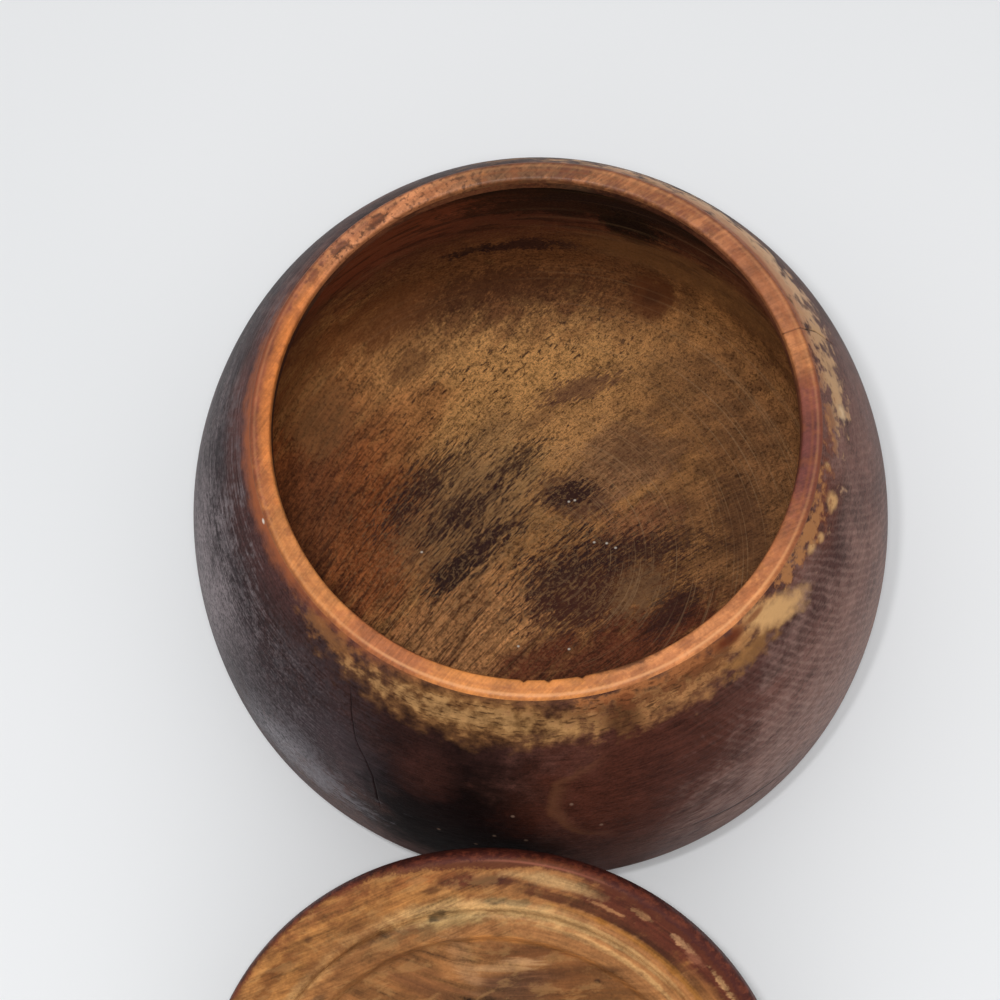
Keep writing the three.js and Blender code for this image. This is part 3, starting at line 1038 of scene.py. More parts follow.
# %% Finish the inside
x, y, _ = inside.parts(inside.where)
rings = inside.noise(inside.position(x / reach, y / reach, reach), (1, 1, 0.5), 3, 0.7)
scratched = inside.patch(inside.where, (38, 10), (32, 48), 0, 0.8)
inside.paint(colour(196, 158, 116), rings.between(0.52, 0.72) * (0.08 + 0.24 * scratched))
SPECKS = ((8, 13), (9.5, 13.2), (13, 2), (16, 1.4), (18, 0), (-29, 4), (-8, -22), (4, -24))
inside.dots(inside.where, SPECKS, (0.3, 0.25), CHALK, 0.8)
inside_height = inside.fibres * 0.08 + rings * 0.05 + inside.grit * 0.05
inside_wood = inside.finish(inside_height, 0.66 - 0.5 * (inside.grit - 0.5),
                            Specular_IOR_Level=0.1)

# %% [markdown]
# ## The lip
#
# The lip is the only place that is rubbed bare, so it glows orange, with mauve heartwood at
# the right where the dark core of the tree reached the edge. Its marks are placed by
# direction and distance from the axis, which unrolls the lip into a straight strip. The
# strip's seam lies at the upper right, where every mask fades out or is the same on both
# sides.

# %% Lay the lip's colours
ORANGE = colour(178, 112, 60)
MAUVE = colour(112, 58, 48)

lip = Wood("lip_wood", ORANGE)
lip_broken = lip.noise(lip.where, (2.2, 2.2, 2.2), 4, 0.65)
direction, reach, _ = lip.around(-120)
on_lip = lip.position(direction, reach)
far_right = direction.between(24, 46) + 1 - direction.between(-290, -262)
lip.paint(colour(142, 92, 60), far_right * 0.85)
LIP_WASHES = (
    ((-101, 55.7), (20, 8), 0, colour(186, 116, 58), 0.8, 1.0),
    ((-60, 55.7), (20, 8), 0, colour(188, 120, 74), 0.7, 1.0),
    ((-128, 55.7), (10, 8), 0, colour(152, 84, 50), 0.7, 1.5),
    ((-200, 55.7), (22, 8), 0, colour(160, 92, 50), 0.8, 1.0),
    ((-242, 55.7), (24, 8), 0, colour(184, 120, 82), 0.8, 2.0),
    ((-274, 55.7), (16, 8), 0, colour(108, 74, 50), 0.9, 2.0),
    ((27, 55.7), (20, 8), 0, colour(140, 86, 58), 0.85, 2.0),
    ((-30, 55.7), (12, 8), 0, colour(136, 78, 50), 0.7, 1.5),
    ((-10, 55.7), (17, 8), 0, MAUVE, 0.95, 1.2),
    ((9, 55.7), (5, 8), 0, colour(184, 118, 72), 0.7, 1.0),
    ((-14, 56), (7, 6), 0, colour(92, 46, 42), 0.7, 2.0),
    ((-64, 55.2), (2.2, 0.9), 0, colour(130, 72, 38), 0.6, 2.0),
    ((-47, 55.5), (3.2, 1.2), 0, colour(126, 68, 36), 0.6, 2.0),
    ((-172, 56), (6, 1.6), 0, colour(142, 78, 44), 0.5, 2.5),
    ((-240, 55.7), (2.2, 1.2), 0, UMBER, 0.9, 5.0),
    ((-237, 54.8), (2.0, 0.7), 0, UMBER, 0.7, 5.0),
    ((-229, 55.9), (2.4, 1.3), 0, UMBER, 0.9, 5.0),
    ((-222, 56.4), (3, 1.0), 0, colour(96, 54, 40), 0.7, 6.0),
    ((-234, 56.6), (12, 0.9), 0, colour(132, 84, 64), 0.5, 5.0),
    ((-196, 54.7), (25, 1.1), 0, colour(202, 116, 50), 0.55, 1.5),
    ((-196, 57.2), (30, 0.9), 0, colour(118, 58, 42), 0.8, 2.0),
    ((-76, 54), (6, 0.75), 0, colour(84, 46, 22), 0.85, 2.0),
)
lip.spread(on_lip, LIP_WASHES, lip_broken, 0.5)

# %% [markdown]
# ## Wear and painted highlight on the lip
#
# Over the colours come the fibres, soft blotches, dark dots at the far left, and a shimmer
# across the grain at the far right. The thin bright line along the outer corner is partly
# rubbed wood and partly painted highlight, strongest in front, and a dark line runs along the
# inner one: both are narrow bands of distance from the axis. A crack is darkest where it cuts
# deepest, which the mesh carries as its own value.

# %% Finish the lip
lip.shade(lip.figure(0.7, 0.9, 1.6, 0.6) + lip.ripple() * 0.03 + 0.04)
soft_blotches = lip.noise(lip.where, (4, 4, 4), 4, 0.6)
lip.paint(colour(132, 72, 40), soft_blotches.between(0.52, 0.64) * 0.4)
far_left = (1 - direction.between(-236, -214)) * direction.between(-298, -278)
lip_dots = lip.noise(lip.where, (1.1, 1.1, 1.1), 3)
lip.paint(colour(84, 50, 30), lip_dots.between(0.52, 0.64) * far_left * 0.7)
shimmer = lip.noise(lip.along, (6, 1.3, 1.3), 4, 0.6)
lip.paint(colour(104, 54, 42), shimmer.between(0.46, 0.62) * far_right * 0.55)
lip.paint(colour(196, 126, 82), (1 - shimmer.between(0.36, 0.46)) * far_right * 0.5)
near_side = direction.between(-150, -120) * (1 - direction.between(-50, -20))
# Painted highlight, partly wear: a thin bright line along the outer corner, stronger in front.
arris_highlight = reach.near(57.0, 0.5) * (0.5 + lip_broken)
lip.paint(colour(222, 158, 104), arris_highlight * (0.15 + 0.4 * near_side))
lip.paint(colour(150, 84, 44), reach.near(55.9, 0.5) * (lip_broken + 0.2) * 0.35)
outer_corner = reach.between(57.2, 57.8) * (1 - near_side)
inner_corner = 1 - reach.between(53.75, 54.15)
lip.paint(colour(112, 58, 32), outer_corner * (0.3 + lip_broken) * 0.8)
# A dark line along the inner corner, stronger in front.
lip.paint(colour(78, 40, 20), inner_corner * (0.3 + 0.5 * near_side))
cut = lip.node("ShaderNodeAttribute", {"attribute_name": "cut"}, output="Fac")
lip.paint(colour(48, 24, 16), cut.between(0.1, 0.8) * 0.8)
lip_height = lip.fibres * 0.05 + lip_broken * 0.12
lip_wood = lip.finish(lip_height, 0.46 + 0.3 * (lip_broken - 0.5), Specular_IOR_Level=0.25)

# %% [markdown]
# ## The outside of the bowl
#
# Outside, the bowl was stained nearly black and waxed, and the stain has worn unevenly: it is
# charcoal and dusty on the left, black in front, and red-brown to mauve on the right, and a
# painted sheen lies over the left and the right. Under the lip the pale sapwood comes through
# in ragged patches. Places are given by direction in degrees and height, with the seam of that
# map at the very back, and the front's washes come first.

# %% Lay the outside's colours
CHARCOAL = colour(54, 42, 45)
# Grey dust; on the bowl's left it also carries a painted sheen.
DUST = colour(142, 130, 132)
NEAR_BLACK = colour(8, 2, 3)
RED_BROWN = colour(68, 34, 24)
MAUVE_BROWN = colour(84, 52, 44)
PALE_MAUVE_SHEEN = colour(168, 134, 122)
SAPWOOD = colour(138, 96, 54)
PALE_SAPWOOD = colour(202, 156, 104)

outside = Wood("outside_wood", MAUVE_BROWN)
clouds = outside.noise(outside.where, (11, 11, 11), 6, 0.68, 0.3)
specks = outside.noise(outside.where, (2, 2, 2), 5, 0.68)
lined = outside.noise(outside.along, (5, 1.1, 1.1), 5, 0.68)
soft_grain = outside.noise(outside.where, (3.4, 3.4, 3.4), 4, 0.58)
direction, _, height = outside.around(-90)
on_side = outside.position(direction, height)
level_flecks = outside.noise(on_side, (2.6, 0.6, 1), 4, 0.6)
OUTSIDE_WASHES = (
    ((-184, 76), (58, 50), 0, colour(49, 37, 40), 0.95, 1.5),
    ((-172, 106), (46, 7), 0, colour(92, 58, 54), 0.85, 1.5),
    ((-150, 101), (34, 8), 0, colour(58, 36, 34), 0.7, 2.0),
    ((-136, 94), (18, 12), 0, colour(50, 30, 27), 0.85, 2.0),
    ((-130, 74), (9, 16), 0, colour(62, 50, 53), 0.7, 2.0),
    ((-112, 93), (16, 18), 0, colour(38, 20, 17), 0.9, 2.0),
    ((-109, 62), (17, 28), 0, NEAR_BLACK, 0.95, 1.6),
    ((-76, 80), (20, 26), 0, RED_BROWN, 0.9, 1.5),
    ((-115, 84), (5, 9), 0, colour(62, 34, 28), 0.5, 2.0),
    ((-20, 93), (8, 8), 0, colour(78, 66, 62), 0.6, 2.5),
    ((-36, 95), (20, 6), 0, colour(50, 30, 30), 0.6, 2.5),
    ((-34, 66), (26, 28), 0, colour(116, 86, 78), 0.75, 2.0),
    ((0, 92), (20, 18), 0, colour(120, 88, 80), 0.6, 2.0),
)
outside.spread(on_side, OUTSIDE_WASHES, clouds, 0.45)

# %% [markdown]
# ## Dust and painted sheen on the left
#
# The left side is dull grey, partly because dust has settled in the open grain and the wax is
# gone, and partly from painted sheen: the pale grey that the light lays on it is put into its
# colour. Dust and sheen are broken up at every scale, so three noises of different size are
# added and cut off softly, and a much finer one sprinkles dark and light specks over it. The
# mask that holds all this to the left side has a cloudy edge and ends below the lip.

# %% Dust the left side and paint its sheen
left = ((direction + (clouds - 0.5) * 80).between(-262, -222) * (1 - direction.between(-146, -120))
        * (1 - height.between(90, 102) * 0.8))
outside.shade(outside.figure(1.2, 1.1, 1.1, 0.8, 0.9))
# Dust and painted sheen: grey where dust lies in the grain and where the light's sheen is painted in.
dust_and_sheen = (clouds + (outside.turning - 0.5) * 0.7 + (specks - 0.5) * 0.9).between(0.4, 0.66)
outside.paint(DUST, dust_and_sheen * left * 0.24)
# Patches of dust and painted grey sheen on the left.
OUTSIDE_DUST_AND_SHEEN = (
    ((-196, 70), (24, 22), 0, DUST, 0.4, 11.0),
    ((-167, 70), (15, 16), 0, DUST, 0.95, 8.0),
    ((-142, 55), (11, 11), 0, colour(150, 145, 150), 0.8, 8.0),
    ((-152, 66), (7, 14), 0, CHARCOAL, 0.6, 8.0),
    ((-136, 78), (9, 16), 0, colour(56, 44, 47), 0.5, 8.0),
)
dust_and_sheen_grain = clouds * 0.4 + specks * 0.35 + outside.turning * 0.25
outside.spread(on_side, OUTSIDE_DUST_AND_SHEEN, dust_and_sheen_grain, 0.8)
fine_specks = outside.noise(outside.where, (0.9, 0.9, 0.9), 3, 0.7)
outside.paint(colour(26, 18, 21), fine_specks.between(0.45, 0.62) * left * 0.6)
outside.paint(colour(146, 138, 142), (1 - fine_specks.between(0.36, 0.46)) * left * 0.14)
outside.paint(colour(24, 17, 20), specks.between(0.5, 0.64) * left * 0.6)
outside.report("dust")

# %% [markdown]
# ## Ripple and painted sheen on the right
#
# On the right the grain ripples, and the light catches it as pale bands that climb round the
# belly; these bands, a pale haze and a lighter rim towards the right edge are painted sheen. A
# band is a wave over the direction plus a share of the height, so it leans, and clouds added to
# it make it wander. The arc in the middle is the edge of an old growth ring: a large ellipse
# minus a slightly smaller one.

# %% Add the ripple and painted sheen on the right
swirl = outside.noise(outside.where, (15, 15, 15), 3, 0.6)
bands = ((direction + 0.44 * height) / 1.7 + swirl * 2.0 + specks * 1.1).wave().between(-0.4, 1.2)
right = outside.patch(on_side, (-30, 66), (30, 36), 0, 0.6, clouds, 1.5)
outside.paint(PALE_MAUVE_SHEEN, bands * right * (0.3 + 0.7 * lined.between(0.36, 0.62)) * 0.36)
# Painted sheen: a pale haze over the clouds, and a lighter rim towards the right edge.
outside.paint(PALE_MAUVE_SHEEN, clouds.between(0.44, 0.66) * right * 0.2)
rim_light = outside.patch(on_side, (-48, 52), (26, 18), 30, 0.7, clouds, 2.0)
outside.paint(colour(160, 132, 122), rim_light * lined.between(0.36, 0.6) * 0.5)
arc = (outside.patch(on_side, (-79, 78), (15, 18), 0, 0.05, clouds, 0.5)
       * (1 - outside.patch(on_side, (-78, 78), (14.4, 18), 0, 0.12, clouds, 0.5)))
outside.paint(colour(104, 66, 44), arc * (1 - direction.between(-88, -82)) * 0.55)
outside.report("ripple")

# %% [markdown]
# ## The side that faces away
#
# No photograph shows the back, but a viewer may walk round it, so it is given what the rest
# of the block suggests: dark heartwood along the fibres, a faint ripple, and streaks of
# sapwood near the lip. Everything here goes by its place in the block and not by direction,
# so nothing has a seam.

# %% Finish the side that faces away
x, y, z = outside.parts(outside.where)
back = y.between(0, 45)
heartwood = outside.noise(outside.along, (70, 9, 15), 5, 0.6, 0.3)
outside.paint(colour(28, 13, 13), heartwood.between(0.44, 0.64) * back * 0.7)
outside.paint(colour(112, 74, 60), (1 - heartwood.between(0.32, 0.48)) * back * 0.35)
outside.paint(colour(30, 16, 15), lined.between(0.5, 0.66) * back * 0.45)
# A faint ripple at the back, painted as pale sheen.
back_ripple = outside.ripple().between(-0.8, 1.4) * clouds.between(0.42, 0.66)
outside.paint(PALE_MAUVE_SHEEN, back_ripple * back * 0.12)
sap_streaks = outside.noise(outside.along, (14, 5, 5), 5, 0.66) + z.between(90, 108) * 0.16
sap_side = back * x.between(-30, 10)
outside.paint(SAPWOOD, sap_streaks.between(0.66, 0.73) * sap_side * 0.85)
outside.report("back")

# %% [markdown]
# ## Sapwood under the lip
#
# Just under the lip the stain never took, and the pale sapwood shows: a mottled yellow band
# in front, a bright one that narrows towards the back at the right, and small islands between
# them. They are patches again, with an edge that a soft grain makes ragged. Among them is one
# tiny white dot below the lip at the left, which is a painted glint of light. The front band is
# then mottled with light, shade and dark flecks that lie level.

# %% Let the sapwood show
OUTSIDE_SAPWOOD = (
    ((-107, 104.5), (23, 5.6), 0, colour(122, 82, 48), 0.92, 2.2),
    ((-70, 104.6), (15, 4.8), 0, colour(160, 112, 70), 0.9, 3.0),
    ((-104, 104), (18, 3.0), 0, colour(146, 110, 68), 0.5, 5.0),
    ((-92, 101.5), (8, 2), 0, colour(158, 124, 80), 0.1, 4.0),
    ((-52, 101.5), (7, 2.4), 0, SAPWOOD, 0.7, 4.0),
    ((38, 104.4), (31, 5.4), 0, colour(214, 172, 132), 0.88, 5.0),
    ((36, 106.6), (28, 2.8), 0, colour(172, 114, 80), 0.6, 5.0),
    ((36, 109.4), (29, 1.8), 0, colour(150, 84, 54), 0.85, 3.0),
    ((-31, 105), (1.3, 1.1), 0, PALE_SAPWOOD, 0.8, 2.5),
    ((-28, 103.5), (0.8, 1.0), 0, PALE_SAPWOOD, 0.8, 2.5),
    ((-20.5, 103.5), (1.6, 1.8), 0, PALE_SAPWOOD, 0.9, 2.5),
    ((-15, 107), (0.8, 1.0), 0, PALE_SAPWOOD, 0.8, 2.5),
    ((-2, 101.5), (1.7, 1.7), 0, colour(216, 184, 146), 0.95, 2.5),
    ((4, 102.6), (2.2, 2.6), 0, colour(206, 170, 130), 0.8, 4.0),
    ((6, 103), (10, 3.6), 0, colour(184, 144, 104), 0.75, 6.0),
    ((-172, 110.6), (40, 3.6), 0, colour(160, 90, 54), 0.85, 1.5),
    # Painted highlight: a tiny white glint below the lip at the left.
    ((-165, 108.8), (0.5, 0.35), 0, CHALK, 0.8, 0.5),
    ((-139, 106), (8, 2), 0, colour(140, 92, 54), 0.6, 5.0),
    ((-80, 103), (3.2, 4), 0, colour(74, 44, 26), 0.8, 3.5),
    ((-64, 107.8), (18, 1.5), 0, colour(150, 88, 50), 0.65, 6.0),
    ((-67, 105.6), (16, 1.3), 0, colour(88, 48, 28), 0.7, 10.0),
    ((-22, 107), (16, 2), 0, colour(110, 58, 38), 0.6, 9.0),
    ((-30, 107.5), (10, 1.5), 0, colour(176, 122, 76), 0.7, 9.0),
    ((-112, 104.5), (14, 1.6), 0, colour(176, 136, 90), 0.3, 7.0),
    ((-52, 105), (5, 1.4), 0, colour(172, 122, 76), 0.7, 4.0),
    ((-44.5, 103.8), (7, 2.9), -32, PALE_SAPWOOD, 0.95, 1.8),
    ((-56, 107.6), (3.2, 1.1), 0, colour(92, 42, 24), 0.9, 2.5),
    ((-49, 107.6), (2.0, 0.6), 0, colour(110, 54, 30), 0.7, 2.5),
)
outside.spread(on_side, OUTSIDE_SAPWOOD, soft_grain, 0.6)
under_lip = outside.patch(on_side, (-96, 104), (38, 6), 0, 0.4)
outside.shade(1 + under_lip * ((soft_grain - 0.5) * 2.4 + (specks - 0.5) * 1.2))
outside.paint(colour(58, 34, 20), level_flecks.between(0.53, 0.64) * under_lip * 0.75)
right_strip = outside.patch(on_side, (-68, 105), (16, 5), 0, 0.5)
outside.paint(colour(96, 56, 34), specks.between(0.53, 0.6) * right_strip * 0.55)

# %% [markdown]
# ## Pale dots, cracks and gloss outside
#
# Last come small marks: a few pale dots, a hairline at the lower right that is too fine to be
# cut into the mesh and so is painted and pressed in as bump, and dirt in the real cracks. The
# wax is thin and uneven: where the clouds are light it is rougher, and it mirrors almost
# nothing, because the photograph's light is so soft and the sheen on the left and the right is
# painted into the colour instead.

# %% Finish the outside
PALE_DOTS = ((-112, 60), (-106, 56), (-103, 63), (-98, 62), (-100, 74), (-90.5, 79), (-86, 68))
outside.dots(on_side, PALE_DOTS, (0.3, 0.5), colour(150, 122, 104), 0.4)
hairline = outside.patch(on_side, (-61, 45), (12, 0.55), -24.5, 0.4, specks, 1.5)
outside.paint(colour(40, 25, 22), hairline * 0.85)
cut = outside.node("ShaderNodeAttribute", {"attribute_name": "cut"}, output="Fac")
outside.paint(colour(16, 8, 8), cut.between(0.1, 0.8) * 0.65)
outside_height = outside.fibres * 0.05 + specks * 0.1 + outside.turning * 0.05 - hairline * 0.15
outside_wood = outside.finish(outside_height, 0.42 + 0.35 * (clouds - 0.5),
                              Specular_IOR_Level=0.02)

# %% [markdown]
# ## The lid's underside
#
# The underside was left bare: orange-gold with dark red-brown heartwood along the raised
# right edge, and in the dish the grain bows round the heart of a branch. It is worked in the
# lid's own millimetres, x uphill and y to the right, so the ring and the dish can be found by
# their distance from the middle. The bowed grain is a noise over y and over x less a
# hyperbola, whose tip lies at the branch's heart. The rings that the tool left are the same
# seamless noise as inside the bowl.

# %% Lay out the lid's grain
UNDERSIDE_GRAIN = 66
lid_turn = [math.degrees(angle) for angle in Matrix(lid_axes.tolist()).transposed().to_euler()]
LID_GOLD = colour(155, 104, 60)
LID_DARK = colour(84, 38, 24)
EDGE_WOOD = colour(72, 31, 25)

under = Wood("lid_underside_wood", LID_GOLD, UNDERSIDE_GRAIN, lid_origin, lid_turn)
patchy = under.noise(under.along, (8, 3, 3), 5, 0.65)
flecks = under.noise(under.along, (3.4, 0.8, 0.8), 5, 0.66)
direction, reach, height = under.around(0)
flat = under.position(direction, reach)
x, y, _ = under.parts(under.where)
HEART_SIDE = 8
HEART_WIDTH = 8
BOW_LEAN = 0.15
BOW_STRENGTH = 0.3
from_heart = x.math("SQRT", (y + HEART_SIDE) * (y + HEART_SIDE) + HEART_WIDTH ** 2)
bowed = x + y * BOW_LEAN - from_heart * BOW_STRENGTH
along_bow = under.position(y, bowed)
dish_grain = under.noise(along_bow, (13, 1.5, 1), 4, 0.62, 0.4)
dish_streaks = under.noise(along_bow, (22, 4.5, 1), 4, 0.6, 0.4)
circling = under.noise(under.position(x / reach, y / reach, reach), (0.5, 0.5, 1.1), 4, 0.62)
in_dish = 1 - reach.between(43, 48)
on_right = direction.between(-6, 14) * (1 - direction.between(140, 175)) * (1 - in_dish)
under.report("grains")

# %% [markdown]
# ## Marks on the flange and the ring
#
# Outside the dish the marks follow the turning: pale lines along the ring's crest, which are
# painted highlight, a bright orange arc where the dish's wall faces the lamps, which is painted
# light, grey wear beside the ring, a split filled with dirt, and the dark heartwood at the right
# with small worn islands in it. So they are placed by the direction, counted from uphill to the
# right, and by the distance from the middle.

# %% Mark the flange and the ring
LID_FLANGE = (
    ((-40, 57), (34, 9), 0, colour(166, 112, 58), 0.7, 2.0),
    ((-38, 49), (26, 4), 0, colour(158, 106, 60), 0.7, 2.5),
    # Painted highlight along the ring's crest, on the left.
    ((-22, 52.6), (34, 1.9), 0, colour(196, 154, 100), 0.85, 2.0),
    ((-14, 50.6), (12, 1.7), 0, colour(134, 112, 72), 0.65, 3.5),
    ((-32, 50), (10, 2.0), 0, colour(124, 98, 64), 0.65, 3.5),
    ((-24, 51), (4, 0.4), -8, colour(60, 46, 32), 0.6, 2.5),
    ((-56, 49.5), (5, 1.0), -8, colour(84, 64, 50), 0.7, 4.0),
    ((0, 53.6), (7, 0.7), 0, colour(116, 98, 66), 0.65, 4.0),
    # Painted highlight along the ring's crest, on the right.
    ((14, 52.3), (30, 0.5), 0, colour(206, 166, 112), 0.6, 1.6),
    ((30, 50.4), (26, 0.6), 0, colour(206, 160, 104), 0.6, 3.0),
    ((16, 49), (28, 1.3), 0, colour(140, 92, 54), 0.5, 4.0),
    # Painted light: the dish's wall lit where it faces the lamps.
    ((12, 45.6), (26, 1.2), 0, colour(200, 128, 64), 0.65, 3.0),
    ((44, 60.5), (29, 5), 0, LID_DARK, 0.97, 1.8),
    ((31, 58.2), (17, 3.4), 0, LID_DARK, 0.9, 2.5),
    ((24, 55.8), (20, 0.8), 0, colour(76, 38, 22), 0.85, 2.5),
    ((10, 56.4), (10, 0.7), 0, colour(96, 54, 30), 0.8, 3.0),
    ((-5, 58), (10, 1.7), 0, colour(98, 52, 30), 0.85, 3.0),
    ((-2, 58), (6, 0.9), 0, colour(62, 28, 21), 0.85, 2.5),
    ((-10, 58.6), (5, 1.5), 0, colour(88, 44, 27), 0.85, 2.5),
    ((-18, 60), (8, 1.2), 0, colour(130, 76, 40), 0.6, 5.0),
    ((9, 59.6), (8, 1.3), 0, colour(178, 138, 92), 0.9, 2.0),
    ((23, 57.6), (3.0, 0.4), 0, colour(158, 110, 72), 0.75, 6.0),
    ((29, 60.0), (2.6, 0.5), 0, colour(152, 108, 72), 0.8, 8.0),
    ((36, 60.2), (3.0, 0.6), 0, colour(166, 122, 86), 0.85, 8.0),
    ((43, 59.6), (2.4, 0.9), 0, colour(136, 86, 62), 0.5, 5.0),
    ((50, 60.4), (4.2, 0.7), 0, colour(170, 128, 86), 0.85, 8.0),
    ((59, 60.2), (5, 0.8), 0, colour(160, 118, 76), 0.8, 8.0),
    ((40, 54.4), (22, 0.7), 0, colour(150, 98, 36), 0.6, 3.0),
    ((55, 56.6), (12, 1.8), 0, colour(144, 94, 50), 0.6, 3.0),
    ((-16, 56.9), (2.0, 0.8), 0, colour(84, 50, 26), 0.75, 3.0),
    ((-45, 58.8), (1.0, 0.7), 0, colour(84, 50, 26), 0.85, 3.0),
    ((-32, 56.5), (5, 1.2), 0, colour(140, 92, 46), 0.6, 4.0),
    ((-52, 58.5), (4.0, 1.4), 0, colour(110, 66, 34), 0.7, 4.0),
    ((-38, 52), (12, 5), 0, colour(138, 88, 48), 0.5, 4.0),
    ((-26, 59.5), (9, 1.3), 0, colour(140, 84, 44), 0.5, 5.0),
    ((-59, 58.6), (5, 1.8), 0, colour(106, 62, 30), 0.75, 4.0),
    ((-38, 61.4), (9, 1.6), 0, colour(122, 68, 38), 0.6, 6.0),
    ((-31.5, 51.6), (5.5, 0.9), 0, colour(50, 38, 27), 0.9, 3.0),
    ((-26, 50.2), (8, 0.8), 0, colour(98, 78, 50), 0.6, 5.0),
    ((-16, 52.0), (2.2, 0.6), 0, colour(46, 36, 26), 0.8, 3.0),
)
under.spread(flat, LID_FLANGE, patchy, 0.5)

# %% [markdown]
# ## Marks in the dish and the lid's figure
#
# In the dish the marks follow the bowed grain and not the turning, so they are placed by x
# and y, and their edges are broken by that grain. Then the light and dark of the fibres goes
# over everything, with a different figure in each part: bowed in the dish, running round on
# the right of the flange, and straight on the rest.

# %% Mark the dish and add the figure
LID_DISH = (
    ((34, -24), (11, 16), 26, colour(130, 84, 46), 0.8, 2.0),
    ((35, 11), (7.5, 14), -6, colour(104, 62, 32), 0.85, 2.5),
    ((42.4, 4), (2.4, 8), -4, colour(96, 56, 30), 0.7, 3.0),
    ((36, 5), (1.6, 9), -16, colour(72, 44, 28), 0.7, 3.5),
    ((39.5, 19), (1.4, 8), -8, colour(94, 56, 28), 0.5, 3.5),
    ((33, 23), (3, 11), -8, colour(110, 68, 32), 0.5, 3.5),
    ((32, 0), (4, 9), -6, colour(88, 58, 40), 0.75, 3.0),
    ((38.6, 1), (1.2, 7), -12, colour(170, 132, 92), 0.5, 3.5),
    ((33, -20), (1.3, 8), 26, colour(104, 64, 38), 0.6, 3.5),
    ((39, -8.5), (8, 2.0), -23, colour(170, 126, 86), 0.4, 3.5),
    ((30, -12), (3, 9), 26, colour(96, 58, 36), 0.6, 3.5),
    ((37.5, -18), (1.2, 6), 26, colour(112, 70, 40), 0.5, 3.5),
    ((37, 20), (0.5, 0.8), 0, colour(50, 28, 16), 0.8, 0.5),
    ((20, -14), (9, 16), 20, colour(118, 74, 40), 0.7, 2.5),
    ((-6, 4), (26, 34), 0, colour(140, 90, 48), 0.6, 2.0),
)
under.spread(under.where, LID_DISH, dish_grain, 0.6)
straight_figure = (under.fibres - 0.5) * 1.3 + (under.streaks - 0.5) * 1.4
curved_figure = (circling - 0.5) * 2.6
dish_figure = (dish_grain - 0.5) * 2.6 + (dish_streaks - 0.5) * 2.0
under.shade(1 + in_dish * dish_figure + on_right * curved_figure * 0.7
            + (1 - in_dish) * (1 - on_right) * straight_figure
            + (under.mottle - 0.5) * 1.3 + (under.grit - 0.5) * 0.7)
swirled = under.noise(under.along, (7, 3.2, 3.2), 5, 0.64, 0.3)
mostly_flange = (1 - on_right) * (1 - in_dish * 0.6)
under.paint(colour(108, 64, 34), swirled.between(0.48, 0.72) * mostly_flange * 0.7)
under.paint(colour(198, 150, 94), (1 - swirled.between(0.36, 0.48)) * (1 - on_right) * 0.22)
under.paint(colour(92, 50, 24), flecks.between(0.57, 0.7) * (1 - on_right * 0.8) * 0.35)

# %% [markdown]
# ## The lid's edge
#
# The lid's edge carries the same dark stain as the bowl, and the stain has crept round on to
# the underside in small teeth. One number says how far round the edge a point is: its distance
# from the middle plus half its height. Where the bare wood ends is a distance that changes with
# the direction, and two noises cut the teeth. A thin pale line on the edge, near the uphill
# side, is a painted highlight.

# %% Stain the lid's edge
rim = reach + height * 0.5
wood_end = (63.6 - direction.between(-34, -8) * (1 - direction.between(120, 170)) * 2.6
            + direction.near(10, 14) * 1.5)
serrated = rim + (patchy - 0.5) * 4 + (under.grit - 0.5) * 2 - wood_end
under.paint(colour(86, 40, 24), serrated.between(-0.7, 0.5) * 0.9)
# Painted highlight: a thin pale line along the edge near the uphill side.
under.paint(colour(150, 86, 64), rim.near(62.6, 0.45) * direction.near(6, 22) * 0.7)
under.paint(EDGE_WOOD, (serrated - direction.near(4, 34)).between(0.4, 1.4) * 0.95)
under.paint(colour(22, 10, 13), rim.between(65.0, 66.8) * 0.85)
under.paint(colour(92, 42, 27), under.streaks.between(0.46, 0.6) * rim.near(64.4, 1.6)
            * direction.near(18, 60) * 0.6)
rim_specks = under.noise(under.where, (1.8, 1.8, 1.8), 4, 0.66)
under.paint(colour(38, 16, 15), rim_specks.between(0.5, 0.62) * rim.between(63.0, 64.6) * 0.6)
under.paint(colour(126, 62, 42), (1 - rim_specks.between(0.38, 0.5)) * rim.near(64.4, 1.8) * 0.5)
under.paint(colour(132, 70, 46), (flecks.between(0.5, 0.6) * 0.5 + patchy.between(0.5, 0.6) * 0.5)
            * rim.near(63.4, 1.5) * 0.55)
lid_height = circling * 0.05 + flecks * 0.08 + under.grit * 0.04
lid_underside = under.finish(lid_height, 0.55 + 0.4 * (patchy - 0.5), Specular_IOR_Level=0.15)

# %% [markdown]
# ## The top of the lid
#
# The top lies face down, and was stained like the outside of the bowl: nearly black clouds
# over mauve-brown wood, red-brown streaks, dust, and sapwood that shows towards the edge. It
# needs no patches of its own, because nothing is known of it but its kind.

# %% Finish the top of the lid
TOP_GRAIN = 56
top = Wood("lid_top_wood", MAUVE_BROWN, TOP_GRAIN, lid_origin, lid_turn)
top_clouds = top.noise(top.where, (14, 14, 14), 6, 0.66, 0.3)
top.paint(NEAR_BLACK, top_clouds.between(0.42, 0.62) * 0.85)
top.paint(RED_BROWN, top.noise(top.along, (30, 9, 9), 3).between(0.5, 0.66) * 0.8)
top.paint(DUST, top.noise(top.where, (9, 9, 9), 6, 0.7).between(0.56, 0.74) * 0.35)
sap_patches = top.noise(top.along, (26, 12, 12), 5, 0.6)
_, reach, _ = top.around(0)
top.paint(SAPWOOD, (sap_patches + reach.between(30, 62) * 0.12).between(0.62, 0.7) * 0.85)
top.shade(top.figure(1.2, 1.2, 0.8, 0.4) + top.ripple() * 0.05)
lid_top = top.finish(top.fibres * 0.05 + top.mottle * 0.1, 0.42 + 0.35 * (top_clouds - 0.5),
                     Specular_IOR_Level=0.2)

